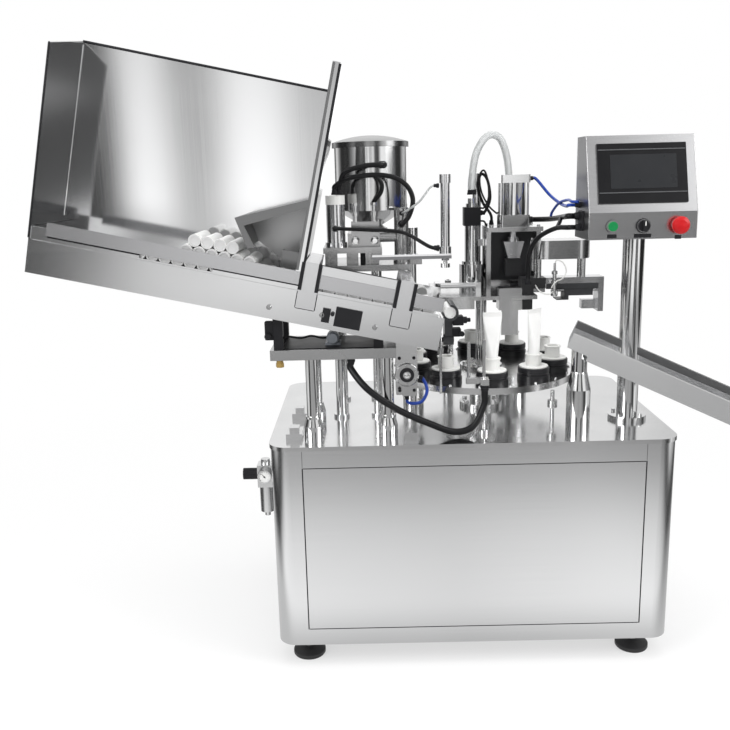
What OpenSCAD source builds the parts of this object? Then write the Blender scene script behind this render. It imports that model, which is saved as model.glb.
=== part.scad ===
// Rotary tube filling and sealing machine: a stainless cabinet with an indexing turntable,
// a sloping tube bin, a filling hopper, hot air, sealing and trimming stations and a control box.
// Millimetres. X runs along the front, Y to the back, Z up from the floor.

/* [Cabinet] */
// Width of the cabinet
cab_w = 950; // [900:10:1000]
// Depth of the cabinet
cab_d = 620; // [610:2:660]
// Height of the cabinet with its table plate
cab_h = 505; // [470:5:560]
// Radius of the upright corners
corner_r = 45; // [30:1:60]
// Wall of the cabinet sheet
cab_wall = 3; // [2:0.5:4]
// Thickness of the table plate
table_t = 10; // [8:1:16]
// How far the table plate stands out past the cabinet
table_lip = 3; // [2:1:6]
// Cabinet front left on each side of the access panel
panel_side = 77; // [60:1:100]
// Cabinet front left below the access panel
panel_below = 43; // [30:1:60]
// Cabinet front left above the access panel, up to the table plate
panel_above = 44; // [30:1:60]
// Gap around the access panel
panel_gap = 1.5; // [1:0.25:3]
// Height of the levelling feet
foot_h = 60; // [50:1:80]
// Diameter of a foot pad
foot_d = 80; // [60:1:90]
// Distance of the feet from the cabinet sides
foot_in = 70; // [55:1:90]

/* [Turntable] */
// Turntable centre, to the right of the cabinet's middle
disc_x = 57; // [50:1:64]
// Turntable centre, behind the cabinet's middle
disc_y = 23; // [18:1:28]
// Radius of the turntable
disc_r = 240; // [230:1:244]
// Thickness of the turntable
disc_t = 16; // [12:1:20]
// Height of the turntable's top above the table plate
disc_lift = 105; // [100:1:120]
// Radius of the circle of cups
cup_circle = 185; // [180:1:188]
// Diameter of a cup
cup_d = 80; // [70:1:88]
// Height of a cup
cup_h = 31; // [26:1:36]
// Height that a cup insert stands above its cup
insert_h = 32; // [26:1:38]
// Angle of the loading station, seen from above
load_angle = 235; // [233:1:237]
// Diameter of the turntable's hollow shaft
shaft_d = 44; // [42:1:50]

/* [Tubes] */
// Diameter of a tube
tube_d = 28; // [24:1:29]
// Length of an open tube in the bin
tube_len = 133; // [110:1:150]
// Height of a sealed tube above its insert
tube_rise = 111; // [100:1:120]
// Width of the sealed end
seal_w = 46; // [40:1:46]

/* [Tube feed] */
// Length of the feed channel
feed_len = 939; // [880:5:980]
// Downward slope of the feed channel
feed_tilt = 12.4; // [11:0.1:14]
// Depth of the bin from front to back
bin_d = 208; // [190:1:214]
// Height of the channel's side plates
feed_h = 75; // [65:1:85]
// Height of the bin's back wall above the channel's foot
bin_h = 524; // [480:4:560]
// Height of the bin's gate above the channel's foot
gate_h = 569; // [540:1:600]
// Distance of the gate from the channel's lower end
gate_at = 333; // [325:1:345]
// Thickness of the bin's sheet
sheet_t = 3; // [2:0.5:4]
// Height of the guard rail
rail_h = 30; // [24:1:36]
// Gap below the guard rail
rail_gap = 13; // [8:1:16]
// Thickness of the feed support plate
feed_plate_t = 24; // [18:1:28]
// Diameter of the feed columns
column_d = 30; // [25:1:34]

/* [Filling] */
// Diameter of the hopper
hopper_d = 185; // [160:1:190]
// Height of the hopper's straight wall
hopper_h = 165; // [140:1:190]
// Wall of the hopper
hopper_wall = 3; // [2:0.5:4]
// Height of the lid's dome
dome_h = 17; // [10:1:24]
// Diameter of the dosing pump
pump_d = 46; // [38:1:50]
// Height of the dosing pump's barrel
pump_h = 104; // [90:1:120]
// Diameter of the filling nozzle
nozzle_d = 24; // [18:1:28]
// Stroke of the filling nozzle
nozzle_stroke = 28; // [20:1:28]

/* [Stations] */
// Thickness of the station plate
plate_t = 10; // [8:1:14]
// Diameter of the heater's collar
heater_d = 68; // [58:1:69]
// Height of the heater's collar
heater_h = 64; // [58:1:76]
// Stroke of the hot air nozzle
heater_stroke = 25; // [15:1:30]
// Bore size of the press cylinder
press_d = 66; // [56:1:70]
// Length of the press cylinder's barrel
press_l = 85; // [75:1:110]
// Stroke of the press head
press_stroke = 22; // [15:1:24]
// Opening of each sealing jaw
jaw_open = 30; // [27:0.5:32]
// Width of the sealing jaws
jaw_w = 60; // [50:1:64]
// Stroke of the trimming blade
trim_stroke = 40; // [30:1:42]
// Stroke of the cylinder that pushes a tube into its cup
push_stroke = 75; // [50:1:80]
// Diameter of the push cylinder
push_d = 22; // [18:1:26]

/* [Control box] */
// Width of the control box
hmi_w = 250; // [240:1:270]
// Height of the control box
hmi_h = 236; // [226:1:250]
// Height of the lower panel that carries the buttons
hmi_low = 62; // [56:1:70]
// Depth of the control box
hmi_d = 130; // [115:1:140]
// Depth of the control box's top
hmi_top_d = 78; // [64:1:90]
// Height of the control box above the table plate
hmi_lift = 447; // [440:1:500]
// Diameter of the control box's post
hmi_post_d = 50.8; // [44:0.1:60]
// Width of the touch screen's frame
screen_w = 206; // [190:1:214]
// Height of the touch screen's frame
screen_h = 140; // [120:1:146]

/* [Discharge chute] */
// Length of the discharge chute
chute_len = 440; // [380:5:460]
// Width of the discharge chute
chute_w = 115; // [90:1:120]
// Height of the chute's back wall
chute_h = 50; // [44:1:60]
// Height of the chute's front wall
chute_front_h = 37; // [30:1:42]
// Downward slope of the chute
chute_tilt = 23.2; // [20:0.1:27]
// Turn of the chute towards the front
chute_turn = 15; // [12:0.5:18]
// Diameter of the chute's post
chute_post_d = 37; // [32:1:46]

/* [Hidden] */
$fn = 64;
eps = 0.01;
far = 3000;

// Running clearances
slide_fit = 0.05;
loose_fit = 0.3;
lay_fit = 0.2;

// Heights of the stack from the floor up
table_z = foot_h + cab_h;
shell_top = table_z - table_t;
disc_z = table_z + disc_lift;
disc_bottom = disc_z - disc_t;
cup_top = disc_z + cup_h;
insert_top = cup_top + insert_h;
tube_top = insert_top + tube_rise;
plate_z = tube_top + 4;
plate_top = plate_z + plate_t;

// Stations round the turntable, counted in the direction of work
cup_count = 10;
pitch = 360 / cup_count;
function station(i) = load_angle - i * pitch;
function station_x(i) = disc_x + cup_circle * cos(station(i));
function station_y(i) = disc_y + cup_circle * sin(station(i));
load_at = 0;
fill_at = 2;
heat_at = 4;
seal_at = 5;
trim_at = 6;
full_at = [8, 9];
seal_h = 10;
seal_t = 2;

// Cups and inserts
cup_bore = 40;
insert_floor = 8;
insert_flange = 3;
insert_neck = 38;
tube_seat = cup_top + insert_floor;

// Tube flipper at the channel's lower end
flip_r = 72;
flip_back = 50;
hinge_y = station_y(load_at) - flip_r;
hinge_z = insert_top + 5 + flip_back;
flip_z = hinge_z + flip_r;
cradle_wall = 4.5;
cradle_l = 90;
axle_d = 12;

// Feed channel, placed by its lower right corner
feed_x = station_x(load_at) - tube_d / 2 - 19;
feed_z = flip_z - feed_h - 5;
feed_front = -290;
feed_back = feed_front + bin_d;
front_t = 4;
floor_end = 6;
rail_z = feed_h + rail_gap;
rail_top = rail_z + rail_h;
strap_x = [-313, -97];
strap_w = 30;
strip_w = 8;
strap_tab_w = 43;
strap_t = 3;
strap_rise = 22;
bin_drop = 32;
crossbar_w = 40;
crossbar_h = 15;
function feed_point(x, z) = [
    feed_x + x * cos(feed_tilt) + z * sin(feed_tilt),
    feed_z - x * sin(feed_tilt) + z * cos(feed_tilt)
];

// Feed support plate and its columns
feed_plate_top = feed_z + 3;
feed_plate_z = feed_plate_top - feed_plate_t;
feed_plate_x = [feed_x - 384, feed_x - 93];
feed_plate_y = [feed_front + 28, feed_back];
feed_column_x = [feed_plate_x[0] + 93, feed_plate_x[1] - 21];
feed_column_y = [feed_plate_y[0] + 27, feed_plate_y[1] - 26];
feed_post_x = [feed_plate_x[0] + 20, feed_plate_x[1] - 40];
feed_post_y = [feed_plate_y[0] + 17, feed_plate_y[1] - 28];
feed_post_w = 22;
collar_d = 46;
collar_h = 53;

// Loading actuator
actuator_w = 50;
actuator_d = 70;
actuator_z = feed_plate_top - 122;
actuator_top = hinge_z + 24;

// Filling unit
fill_x = -223;
fill_y = 60;
fill_plate_z = feed_z + 205;
fill_plate_t = 14;
fill_deck = fill_plate_z + fill_plate_t;
fill_base_t = 15;
fill_base_z = fill_plate_z - 30 - fill_base_t;
fill_left = fill_x - 122;
fill_front = max(feed_back, -82) + 4;
pump_x = fill_x - 90;
pump_y = fill_y - 100;
valve_h = 31;
hopper_z = fill_deck + valve_h;
cone_z = hopper_z + 15;
wall_z = hopper_z + 55;
rim_z = wall_z + hopper_h;
lid_d = hopper_d + 11;
fill_column_d = 26;
fill_column_x = [fill_x - 89, fill_x + 8];
fill_column_y = [fill_front + 18, fill_y + 50];

// Push cylinder over the loading station
push_x = station_x(load_at);
push_y = station_y(load_at);
push_z = fill_plate_z;
push_arm_t = 12;
push_l = 165;
push_rod_d = 10;
push_tip_h = 10;

// Heater at its station
heat_x = station_x(heat_at);
heat_y = station_y(heat_at);
heater_body_d = 38;
heater_body_l = 106;
solenoid_h = 50;
hot_d = 24;
heater_top = plate_top + heater_h;
solenoid_z = heater_top + heater_body_l;
connector_z = solenoid_z + solenoid_h;
heater_pole = [heat_x + 20, heat_y + 52];

// Press at the sealing station
press_x = station_x(seal_at);
press_y = station_y(seal_at);
press_frame_h = 167;
press_frame_t = 12;
press_z = plate_top + press_frame_h;
cap_w = press_d + 12;
low_cap_h = 32;
top_cap_h = 21;
press_rod_d = 20;
press_side = 68;
jaw_l = 30;
jaw_h = 26;
jaw_stem_l = 14;
jaw_stem_w = 20;
jaw_cap_h = 6;
jaw_cap_l = 24;

// Trimming station
trim_x = station_x(trim_at);
trim_y = station_y(trim_at);
trim_d = 50;
trim_beam_h = 16;
trim_lift = 22;
trim_left = trim_x - 64;
trim_right = trim_x + 153;
trim_beam_z = plate_top + trim_lift;
trim_beam_top = trim_beam_z + trim_beam_h;
trim_foot = plate_z - 44;
trim_rod_d = 10;
trim_rod_z = plate_top + 4;
trim_rod_y = [trim_y - 13, trim_y + 13];
trim_cover_z = trim_beam_top + 50;
trim_cover_h = 48;
trim_cover_w = 154;
trim_cover_d = 86;
trim_leg_d = 14;

// Station plate outline
plate_left = disc_x - 117;
plate_right = disc_x + 143;
plate_wing = press_x + 82;
plate_front = disc_y - 18;
plate_back = cab_d / 2 - 5;
station_post = [[disc_x - 62, plate_back - 17], [disc_x + 123, plate_back - 17]];
center_post_d = 28;

// Index drive below the table plate
gearbox_w = 220;
gearbox_d = 190;
gearbox_h = 160;
gearbox_z = shell_top - gearbox_h;
pulley_d = 80;
pulley_w = 24;
pulley_shaft_d = 20;
pulley_x = disc_x - gearbox_w / 2 - 22;
index_axis_z = gearbox_z + 60;
motor_d = 120;
motor_l = 230;
motor_axis_z = foot_h + cab_wall + 87;
belt_t = 4;
belt_w = 20;
shaft_foot = gearbox_z + 75;
shaft_flange_d = 120;
shaft_flange_h = 14;
housing_d = 58;
housing_ring_d = 76;

// Control box
hmi_x = 402;
hmi_y = -128;
hmi_z = table_z + hmi_lift;
hmi_front = hmi_y - hmi_d / 2 + 3;
hmi_wall = 2;
hmi_lean = atan((hmi_d - hmi_top_d) / (hmi_h - hmi_low));
hmi_face = (hmi_h - hmi_low) / cos(hmi_lean);
button_z = hmi_z + hmi_low / 2;
button_x = [hmi_x - 71, hmi_x, hmi_x + 82];
bezel_d = 30;
bezel_h = 5;
button_d = 22;
selector_d = 26;
selector_shaft = 16;
mushroom_d = 40;
button_travel = 4;
mushroom_travel = 5;

// Discharge chute, placed by the middle of its upper end
chute_x = 244;
chute_y = -160;
chute_z = disc_z + 95;
chute_t = 3;
chute_reach = chute_len * cos(chute_tilt) + chute_h * sin(chute_tilt);
chute_post_x = chute_x + 20;
chute_post_y = chute_y - 34;
chute_bar_h = 12;
chute_bar_start = 52;

// Air regulator on the left wall
reg_y = -200;
reg_z = table_z - 105;
reg_w = 38;
reg_knob_d = 28;

// The part's origin lies under the middle of its outline
x_min = feed_point(-feed_len, 0)[0];
x_max = chute_x + chute_reach * cos(chute_turn) + chute_w / 2 * sin(chute_turn);
y_min = min(-cab_d / 2 - table_lip,
            chute_y - chute_reach * sin(chute_turn) - chute_w / 2 * cos(chute_turn));
y_max = cab_d / 2 + table_lip;
mid_x = (x_min + x_max) / 2;
mid_y = (y_min + y_max) / 2;

// Hose routes
clear_d = 20;
clear_route = [[54, 208, 1112], [54, 208, 1150], [66, 210, 1222], [96, 216, 1266], [130, 222, 1262],
    [152, 232, 1215], [162, 242, 1150], [166, 248, 1085], [166, 248, 1026]];
thin_d = 5;
thin_route = [[-150, -46, 1078], [-146, -62, 1080], [-110, -100, 1106], [-82, -128, 1142], [-64, -128, 1144]];
blue_d = 8;
blue_route = [[203, 174, 1152], [212, 174, 1152], [224, 172, 1149], [252, 130, 1108], [262, 40, 1088],
    [254, -60, 1086], [249, -104, 1090], [262, -104, 1090], [276.4, -104, 1090]];
loop_route = [[-124, -215, 700], [-112, -216, 698], [-102, -226, 672], [-116, -226, 644], [-146, -218, 640],
    [-150, -215, 660]];
black_d = 12;
conduit_d = 16;
conduit_route = [[-280, -230, 758], [-280, -230, 746], [-280, -232, 728], [-240, -262, 684], [-172, -266, 636],
    [-98, -264, 600], [-40, -260, 578], [4, -256, 590], [30, -250, 640], [31, -250, 664], [31, -250, 687]];
pump_route = [[-313, -40, 1126.3], [-313, -40, 1136], [-311, -42, 1148], [-276, -62, 1166], [-218, -66, 1172],
    [-170, -64, 1166], [-136, -62, 1144], [-122, -62, 1110], [-132, -66, 1072], [-150, -72, 1052],
    [-150, -60, 1052], [-150, -46, 1052]];
hopper_route = [[-302, -40, 1126.3], [-302, -40, 1136], [-300, -46, 1150], [-286, -60, 1180], [-240, -66, 1194],
    [-200, -62, 1196], [-192, -48, 1196], [-192, -36, 1196]];
push_route = [[-313, -65, 1045], [-310, -78, 1046], [-230, -92, 1042], [-150, -106, 1035], [-88, -128, 1002],
    [-64, -128, 997]];
upper_route = [[203.2, 174, 1042], [212, 174, 1042], [224, 173, 1042], [252, 110, 1046], [258, -20, 1058],
    [248, -104, 1064], [262, -104, 1064], [276.4, -104, 1064]];
lower_route = [[180, 30, 884], [180, 30, 910], [180, 24, 960], [196, 0, 1004], [228, -56, 1032],
    [247, -118, 1038], [262, -118, 1038], [276.4, -118, 1038]];
coil_route = [[78, 208, 1062], [90, 208, 1064], [106, 220, 1100], [100, 232, 1150], [84, 238, 1166],
    [74, 238, 1136], [88, 242, 1090], [112, 246, 1054], [114, 248, 1026]];

// Shared shapes

// A rectangle with true round corners
module rounded(w, d, r) {
    square([w - 2 * r, d], center = true);
    square([w, d - 2 * r], center = true);
    for (sx = [-1, 1], sy = [-1, 1])
        translate([sx * (w / 2 - r), sy * (d / 2 - r)])
            circle(r);
}

// A box from corner to corner
module span(a, b) {
    translate(a)
        cube(b - a);
}

// A straight round bar between two heights
module rod(x, y, z0, z1, d) {
    translate([x, y, z0])
        cylinder(h = z1 - z0, d = d);
}

// Round bars along X and along Y
module rod_x(x0, x1, y, z, d) {
    translate([x0, y, z])
        rotate([0, 90, 0])
            cylinder(h = x1 - x0, d = d);
}

module rod_y(x, y0, y1, z, d) {
    translate([x, y0, z])
        rotate([-90, 0, 0])
            cylinder(h = y1 - y0, d = d);
}

// Moves the machine so that its origin is under the middle of its outline
module placed() {
    translate([-mid_x, -mid_y, 0])
        children();
}

// The sloping channel's own axes: X runs down the channel, Z stands square to it
module feed_axes() {
    translate([feed_x, 0, feed_z])
        rotate([0, feed_tilt, 0])
            children();
}

// The discharge chute's own axes
module chute_axes() {
    translate([chute_x, chute_y, chute_z])
        rotate([0, 0, -chute_turn])
            rotate([0, chute_tilt, 0])
                children();
}

// Radial axes of a station
module station_axes(i) {
    translate([disc_x, disc_y, 0])
        rotate([0, 0, station(i)])
            children();
}

// The leaning front of the control box
module screen_axes() {
    translate([hmi_x, hmi_front, hmi_z + hmi_low])
        rotate([-hmi_lean, 0, 0])
            children();
}

// Points of a smooth curve through a route
function curve(p, n) = concat(
    [for (i = [0:len(p) - 2], j = [0:n - 1])
        let (a = p[max(i - 1, 0)], b = p[i], c = p[i + 1], d = p[min(i + 2, len(p) - 1)], t = j / n)
        0.5 * (2 * b + (c - a) * t + (2 * a - 5 * b + 4 * c - d) * t * t
            + (3 * b - a - 3 * c + d) * t * t * t)],
    [p[len(p) - 1]]);
function unit(v) = v / norm(v);
function heading(p, i) = unit(p[min(i + 1, len(p) - 1)] - p[max(i - 1, 0)]);

// A hose of round section along a route
module hose(route, d, n = 2, sides = 10) {
    p = curve(route, n);
    last = len(p) - 1;
    rings = [for (i = [0:last])
        let (t = heading(p, i), u = unit(cross(t, [0.31, 0.95, 0.05])), v = cross(t, u))
        for (k = [0:sides - 1])
            p[i] + d / 2 * (cos(360 * k / sides) * u + sin(360 * k / sides) * v)];
    walls = [for (i = [0:last - 1], k = [0:sides - 1])
        [i * sides + k, i * sides + (k + 1) % sides,
         (i + 1) * sides + (k + 1) % sides, (i + 1) * sides + k]];
    ends = [[for (k = [sides - 1:-1:0]) k], [for (k = [0:sides - 1]) last * sides + k]];
    polyhedron(rings, concat([for (w = walls) [w[3], w[2], w[1], w[0]]],
        [for (e = ends) [for (k = [len(e) - 1:-1:0]) e[k]]]));
}

// Cabinet

module cabinet_shell() {
    h = shell_top - foot_h;
    ow = cab_w - 2 * panel_side + 2 * panel_gap;
    oh = h - panel_below - panel_above + 2 * panel_gap;
    oz = foot_h + panel_below - panel_gap;
    lip = 15;
    front = -cab_d / 2;
    color("lightgray") placed() {
        difference() {
            translate([0, 0, foot_h])
                linear_extrude(h)
                    rounded(cab_w, cab_d, corner_r);
            translate([0, 0, foot_h + cab_wall])
                linear_extrude(h)
                    rounded(cab_w - 2 * cab_wall, cab_d - 2 * cab_wall, corner_r - cab_wall);
            span([-ow / 2, front - 1, oz], [ow / 2, front + cab_wall + 1, oz + oh]);
            for (sx = [-1, 1], sy = [-1, 1])
                rod(sx * (cab_w / 2 - foot_in), sy * (cab_d / 2 - foot_in), foot_h - 1, foot_h + cab_wall + 1, 18);
        }
        difference() {
            union() {
                span([-ow / 2 - lip, front + cab_wall, oz - lip], [ow / 2 + lip, front + 2 * cab_wall,
                    oz + oh + lip]);
                difference() {
                    span([-ow / 2 - lip, front + cab_wall / 2, oz - lip], [ow / 2 + lip, front + cab_wall + 1,
                        oz + oh + lip]);
                    span([-ow / 2, front, oz], [ow / 2, front + cab_wall + 2, oz + oh]);
                }
            }
            span([-ow / 2 + lip, front, oz + lip], [ow / 2 - lip, front + 3 * cab_wall, oz + oh - lip]);
        }
    }
}

module table_plate() {
    color("silver") placed()
        difference() {
            translate([0, 0, shell_top])
                linear_extrude(table_t)
                    rounded(cab_w + 2 * table_lip, cab_d + 2 * table_lip, corner_r + table_lip);
            rod(disc_x, disc_y, shell_top - 1, table_z + 1, shaft_d + 8);
        }
}

module front_panel() {
    w = cab_w - 2 * panel_side;
    h = shell_top - foot_h - panel_below - panel_above;
    z = foot_h + panel_below;
    front = -cab_d / 2;
    rim = 20;
    color("silver") placed() {
        span([-w / 2, front, z], [w / 2, front + cab_wall, z + h]);
        difference() {
            span([-w / 2 + rim, front + cab_wall - eps, z + rim], [w / 2 - rim, front + 14, z + h - rim]);
            span([-w / 2 + rim + 2, front, z + rim + 2], [w / 2 - rim - 2, front + 15, z + h - rim - 2]);
        }
    }
}

module levelling_feet() {
    r = foot_d / 2;
    color("dimgray") placed()
        for (sx = [-1, 1], sy = [-1, 1])
            translate([sx * (cab_w / 2 - foot_in), sy * (cab_d / 2 - foot_in), 0]) {
                rotate_extrude()
                    polygon([[0, 0], [r - 2, 0], [r, 3], [r, 11], [r * 0.55, 20], [12, 23], [0, 23]]);
                rod(0, 0, 20, foot_h + 25, 16);
                rod(0, 0, 23, 33, 24);
                translate([0, 0, foot_h - 12])
                    cylinder(h = 12, r = 15, $fn = 6);
            }
}

// A column's base collar with a chamfered neck
module collar(x, y) {
    r = collar_d / 2;
    translate([x, y, table_z])
        rotate_extrude()
            polygon([[0, 0], [r, 0], [r, collar_h * 0.55], [column_d / 2 + 3, collar_h * 0.9],
                [column_d / 2 + 3, collar_h], [0, collar_h]]);
}

module support_columns() {
    color("gainsboro") placed() {
        for (x = feed_column_x, y = feed_column_y) {
            rod(x, y, table_z, feed_plate_z, column_d);
            collar(x, y);
        }
        for (x = fill_column_x, y = fill_column_y) {
            rod(x, y, table_z, fill_base_z, fill_column_d);
            rod(x, y, table_z, table_z + 8, fill_column_d + 14);
        }
        for (p = station_post) {
            rod(p[0], p[1], table_z, plate_z, column_d);
            rod(p[0], p[1], table_z, table_z + 14, column_d + 4);
        }
        rod(disc_x, disc_y, gearbox_z + 25, plate_z, center_post_d);
        rod(station_x(seal_at), station_y(seal_at), table_z, disc_bottom - 14, 84);
        rod(station_x(fill_at), station_y(fill_at), table_z, disc_bottom - 14, 56);
        chute_post();
        hmi_post();
    }
}

// Stepped post that carries the chute, cut to the chute's slope
module chute_post() {
    r = chute_post_d / 2;
    difference() {
        translate([chute_post_x, chute_post_y, table_z])
            rotate_extrude()
                polygon([[0, 0], [r + 10, 0], [r + 10, 94], [r + 1, 134], [r, 137], [r, 240], [0, 240]]);
        chute_axes()
            translate([-far / 2, -far / 2, 0])
                cube(far);
    }
}

module hmi_post() {
    rod(hmi_x, hmi_y, table_z, hmi_z, hmi_post_d);
    rod(hmi_x, hmi_y, table_z, table_z + 10, hmi_post_d + 42);
    for (a = [45:90:315])
        translate([hmi_x + (hmi_post_d / 2 + 11) * cos(a), hmi_y + (hmi_post_d / 2 + 11) * sin(a), table_z])
            cylinder(h = 16, d = 9);
}

// Index drive

module index_housing() {
    top = disc_bottom - shaft_flange_h - 10;
    ring_h = 18;
    color("silver") placed()
        translate([disc_x, disc_y, 0])
            difference() {
                union() {
                    rod(0, 0, table_z, table_z + 12, 112);
                    rod(0, 0, table_z, top, housing_d);
                    rod(0, 0, top - ring_h, top, housing_ring_d);
                    for (a = [0:60:300])
                        rod(32 * cos(a), 32 * sin(a), top - ring_h, top + 5, 9);
                    for (a = [30:60:330])
                        rod(46 * cos(a), 46 * sin(a), table_z, table_z + 18, 12);
                }
                rod(0, 0, table_z - 1, top + 6, shaft_d + 2 * slide_fit);
            }
}

module index_gearbox() {
    x = disc_x - gearbox_w / 2;
    color("slategray") placed()
        difference() {
            union() {
                translate([disc_x, disc_y, gearbox_z])
                    linear_extrude(gearbox_h)
                        rounded(gearbox_w, gearbox_d, 18);
                rod_x(x - 6, x + 1, disc_y, index_axis_z, 70);
            }
            rod(disc_x, disc_y, shaft_foot - 2, shell_top + 1, shaft_d + 2 * slide_fit);
            rod(disc_x, disc_y, gearbox_z + 25, shell_top, center_post_d + 2 * slide_fit);
            rod_x(x - 7, x + 34, disc_y, index_axis_z, pulley_shaft_d + 2 * slide_fit);
        }
}

module drive_motor() {
    x = pulley_x + pulley_w / 2 + 12;
    foot = foot_h + cab_wall;
    color("steelblue") placed()
        difference() {
            union() {
                rod_x(x, x + motor_l, disc_y, motor_axis_z, motor_d);
                rod_x(x - 5, x + 1, disc_y, motor_axis_z, 60);
                span([x + 40, disc_y - 70, foot], [x + motor_l - 40, disc_y + 70, foot + 12]);
                span([x + 40, disc_y - 45, foot], [x + motor_l - 40, disc_y + 45, motor_axis_z]);
                span([x + 70, disc_y - 40, motor_axis_z], [x + 150, disc_y + 40, motor_axis_z + motor_d / 2 + 30]);
            }
            rod_x(x - 6, x + 40, disc_y, motor_axis_z, pulley_shaft_d + 2 * slide_fit);
        }
}

// A pulley on its shaft, which turns in the box to its right
module pulley(z, shaft_end) {
    rod_x(pulley_x - pulley_w / 2, pulley_x + pulley_w / 2, disc_y, z, pulley_d);
    rod_x(pulley_x - pulley_w / 2 - 6, shaft_end, disc_y, z, pulley_shaft_d);
    rod_x(pulley_x - pulley_w / 2 - 5, pulley_x, disc_y, z, 40);
}

module motor_pulley() {
    color("gray") placed()
        pulley(motor_axis_z, pulley_x + pulley_w / 2 + 48);
}

module index_pulley() {
    color("gray") placed()
        pulley(index_axis_z, disc_x - gearbox_w / 2 + 30);
}

// A flat belt round two equal pulleys
module belt_loop(r) {
    circle(r);
    translate([index_axis_z - motor_axis_z, 0])
        circle(r);
    translate([0, -r])
        square([index_axis_z - motor_axis_z, 2 * r]);
}

module drive_belt() {
    r = pulley_d / 2 + loose_fit;
    color("black") placed()
        translate([pulley_x - belt_w / 2, disc_y, motor_axis_z])
            rotate([0, -90, 0])
                mirror([0, 0, 1])
                    linear_extrude(belt_w)
                        difference() {
                            belt_loop(r + belt_t);
                            belt_loop(r);
                        }
}

// Turntable

module index_shaft() {
    color("lightgray") placed()
        translate([disc_x, disc_y, 0])
            difference() {
                union() {
                    rod(0, 0, shaft_foot, disc_bottom, shaft_d);
                    rod(0, 0, disc_bottom - shaft_flange_h, disc_bottom, shaft_flange_d);
                }
                rod(0, 0, shaft_foot - 1, disc_bottom + 1, center_post_d + 2);
            }
}

module turntable() {
    color("silver") placed()
        difference() {
            union() {
                rod(disc_x, disc_y, disc_bottom, disc_z, 2 * disc_r);
                rod(disc_x, disc_y, disc_z, disc_z + 8, 110);
                for (a = [0:60:300])
                    rod(disc_x + 42 * cos(a), disc_y + 42 * sin(a), disc_z, disc_z + 14, 13);
            }
            rod(disc_x, disc_y, disc_bottom - 1, disc_z + 9, center_post_d + 4);
            for (i = [0:cup_count - 1])
                rod(station_x(i), station_y(i), disc_bottom - 1, disc_z + 1, cup_bore / 2);
        }
}

module tube_cups() {
    r = cup_d / 2;
    b = cup_bore / 2;
    color("#1c1c1e") placed()
        for (i = [0:cup_count - 1])
            translate([station_x(i), station_y(i), disc_z])
                rotate_extrude()
                    polygon([[b, 0], [r, 0], [r, cup_h * 0.38], [r - 3, cup_h * 0.42], [r - 3, cup_h * 0.54],
                        [r - 1, cup_h * 0.58], [r - 1, cup_h - 2], [r - 3, cup_h], [b, cup_h]]);
}

module cup_inserts() {
    stem = cup_bore / 2 - loose_fit;
    bore = tube_d / 2 + 0.6;
    neck = max(insert_neck / 2, bore + 3);
    top = cup_h + insert_h;
    color("white") placed()
        for (i = [0:cup_count - 1])
            translate([station_x(i), station_y(i), disc_z])
                rotate_extrude()
                    polygon([[6, cup_h - 19], [stem, cup_h - 19], [stem, cup_h], [cup_d / 2 - 5, cup_h],
                        [cup_d / 2 - 5, cup_h + insert_flange], [neck, cup_h + insert_flange], [neck, top - 3],
                        [neck + 2, top - 3], [neck + 2, top], [bore, top], [bore, cup_h + insert_floor],
                        [6, cup_h + insert_floor]]);
}

// A sealed tube, cap down, flat at its upper end
module sealed_tube() {
    r = tube_d / 2;
    body = insert_top + 5;
    rod(0, 0, tube_seat, body + 1, tube_d);
    hull() {
        rod(0, 0, body, body + 1, tube_d);
        span([-seal_t / 2, -seal_w / 2, tube_top - seal_h], [seal_t / 2, seal_w / 2, tube_top - seal_h + 1]);
    }
    span([-seal_t / 2, -seal_w / 2, tube_top - seal_h], [seal_t / 2, seal_w / 2, tube_top]);
}

module tubes_on_table() {
    color("white") placed()
        for (i = full_at)
            station_axes(i)
                translate([cup_circle, 0, 0])
                    sealed_tube();
}

// Tube feed

module feed_plate() {
    color("silver") placed()
        span([feed_plate_x[0], feed_plate_y[0], feed_plate_z], [feed_plate_x[1], feed_plate_y[1], feed_plate_top]);
}

// Posts between the support plate and the channel, cut to the channel's slope
module feed_posts() {
    color("#222222") placed()
        difference() {
            for (x = feed_post_x, y = feed_post_y)
                translate([x - feed_post_w / 2, y - feed_post_w / 2, feed_plate_top])
                    cube([feed_post_w, feed_post_w, 200]);
            feed_axes()
                translate([-far / 2, -far / 2, 0])
                    cube(far);
        }
}

// Floor, back wall and left wall folded from one sheet, with bars across its foot
module tube_bin() {
    back = feed_back - sheet_t;
    color("lightgray") placed()
        difference() {
            feed_axes() {
                span([-feed_len, feed_front + front_t, feed_h - sheet_t], [-floor_end, feed_back, feed_h]);
                span([-feed_len, back, 0], [0, feed_back, rail_top]);
                span([-feed_len, back, 0], [-gate_at, feed_back, bin_h]);
                translate([-feed_len, 0, 0])
                    rotate([90, 0, 90])
                        linear_extrude(sheet_t)
                            polygon([[feed_front, feed_h], [feed_front, bin_h - bin_drop], [feed_back, bin_h],
                                [feed_back, feed_h]]);
                for (x = feed_post_x)
                    translate([(x - feed_x) / cos(feed_tilt) - crossbar_w / 2, 0, 0])
                        span([0, feed_front + front_t, 0], [crossbar_w, feed_back, crossbar_h]);
            }
            rod(disc_x, disc_y, feed_z - 60, tube_top + 6, 2 * (cup_circle + tube_d / 2 + 7));
        }
}

module feed_front_plate() {
    color("silver") placed()
        feed_axes() {
            span([-feed_len, feed_front, 0], [0, feed_front + front_t, feed_h]);
            for (s = [[-feed_len, (feed_post_x[0] - feed_x) / cos(feed_tilt) - crossbar_w / 2],
                      [(feed_post_x[1] - feed_x) / cos(feed_tilt) + crossbar_w / 2, 0]])
                span([s[0], feed_front, 0], [s[1], feed_front + 18, sheet_t]);
        }
}

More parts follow.
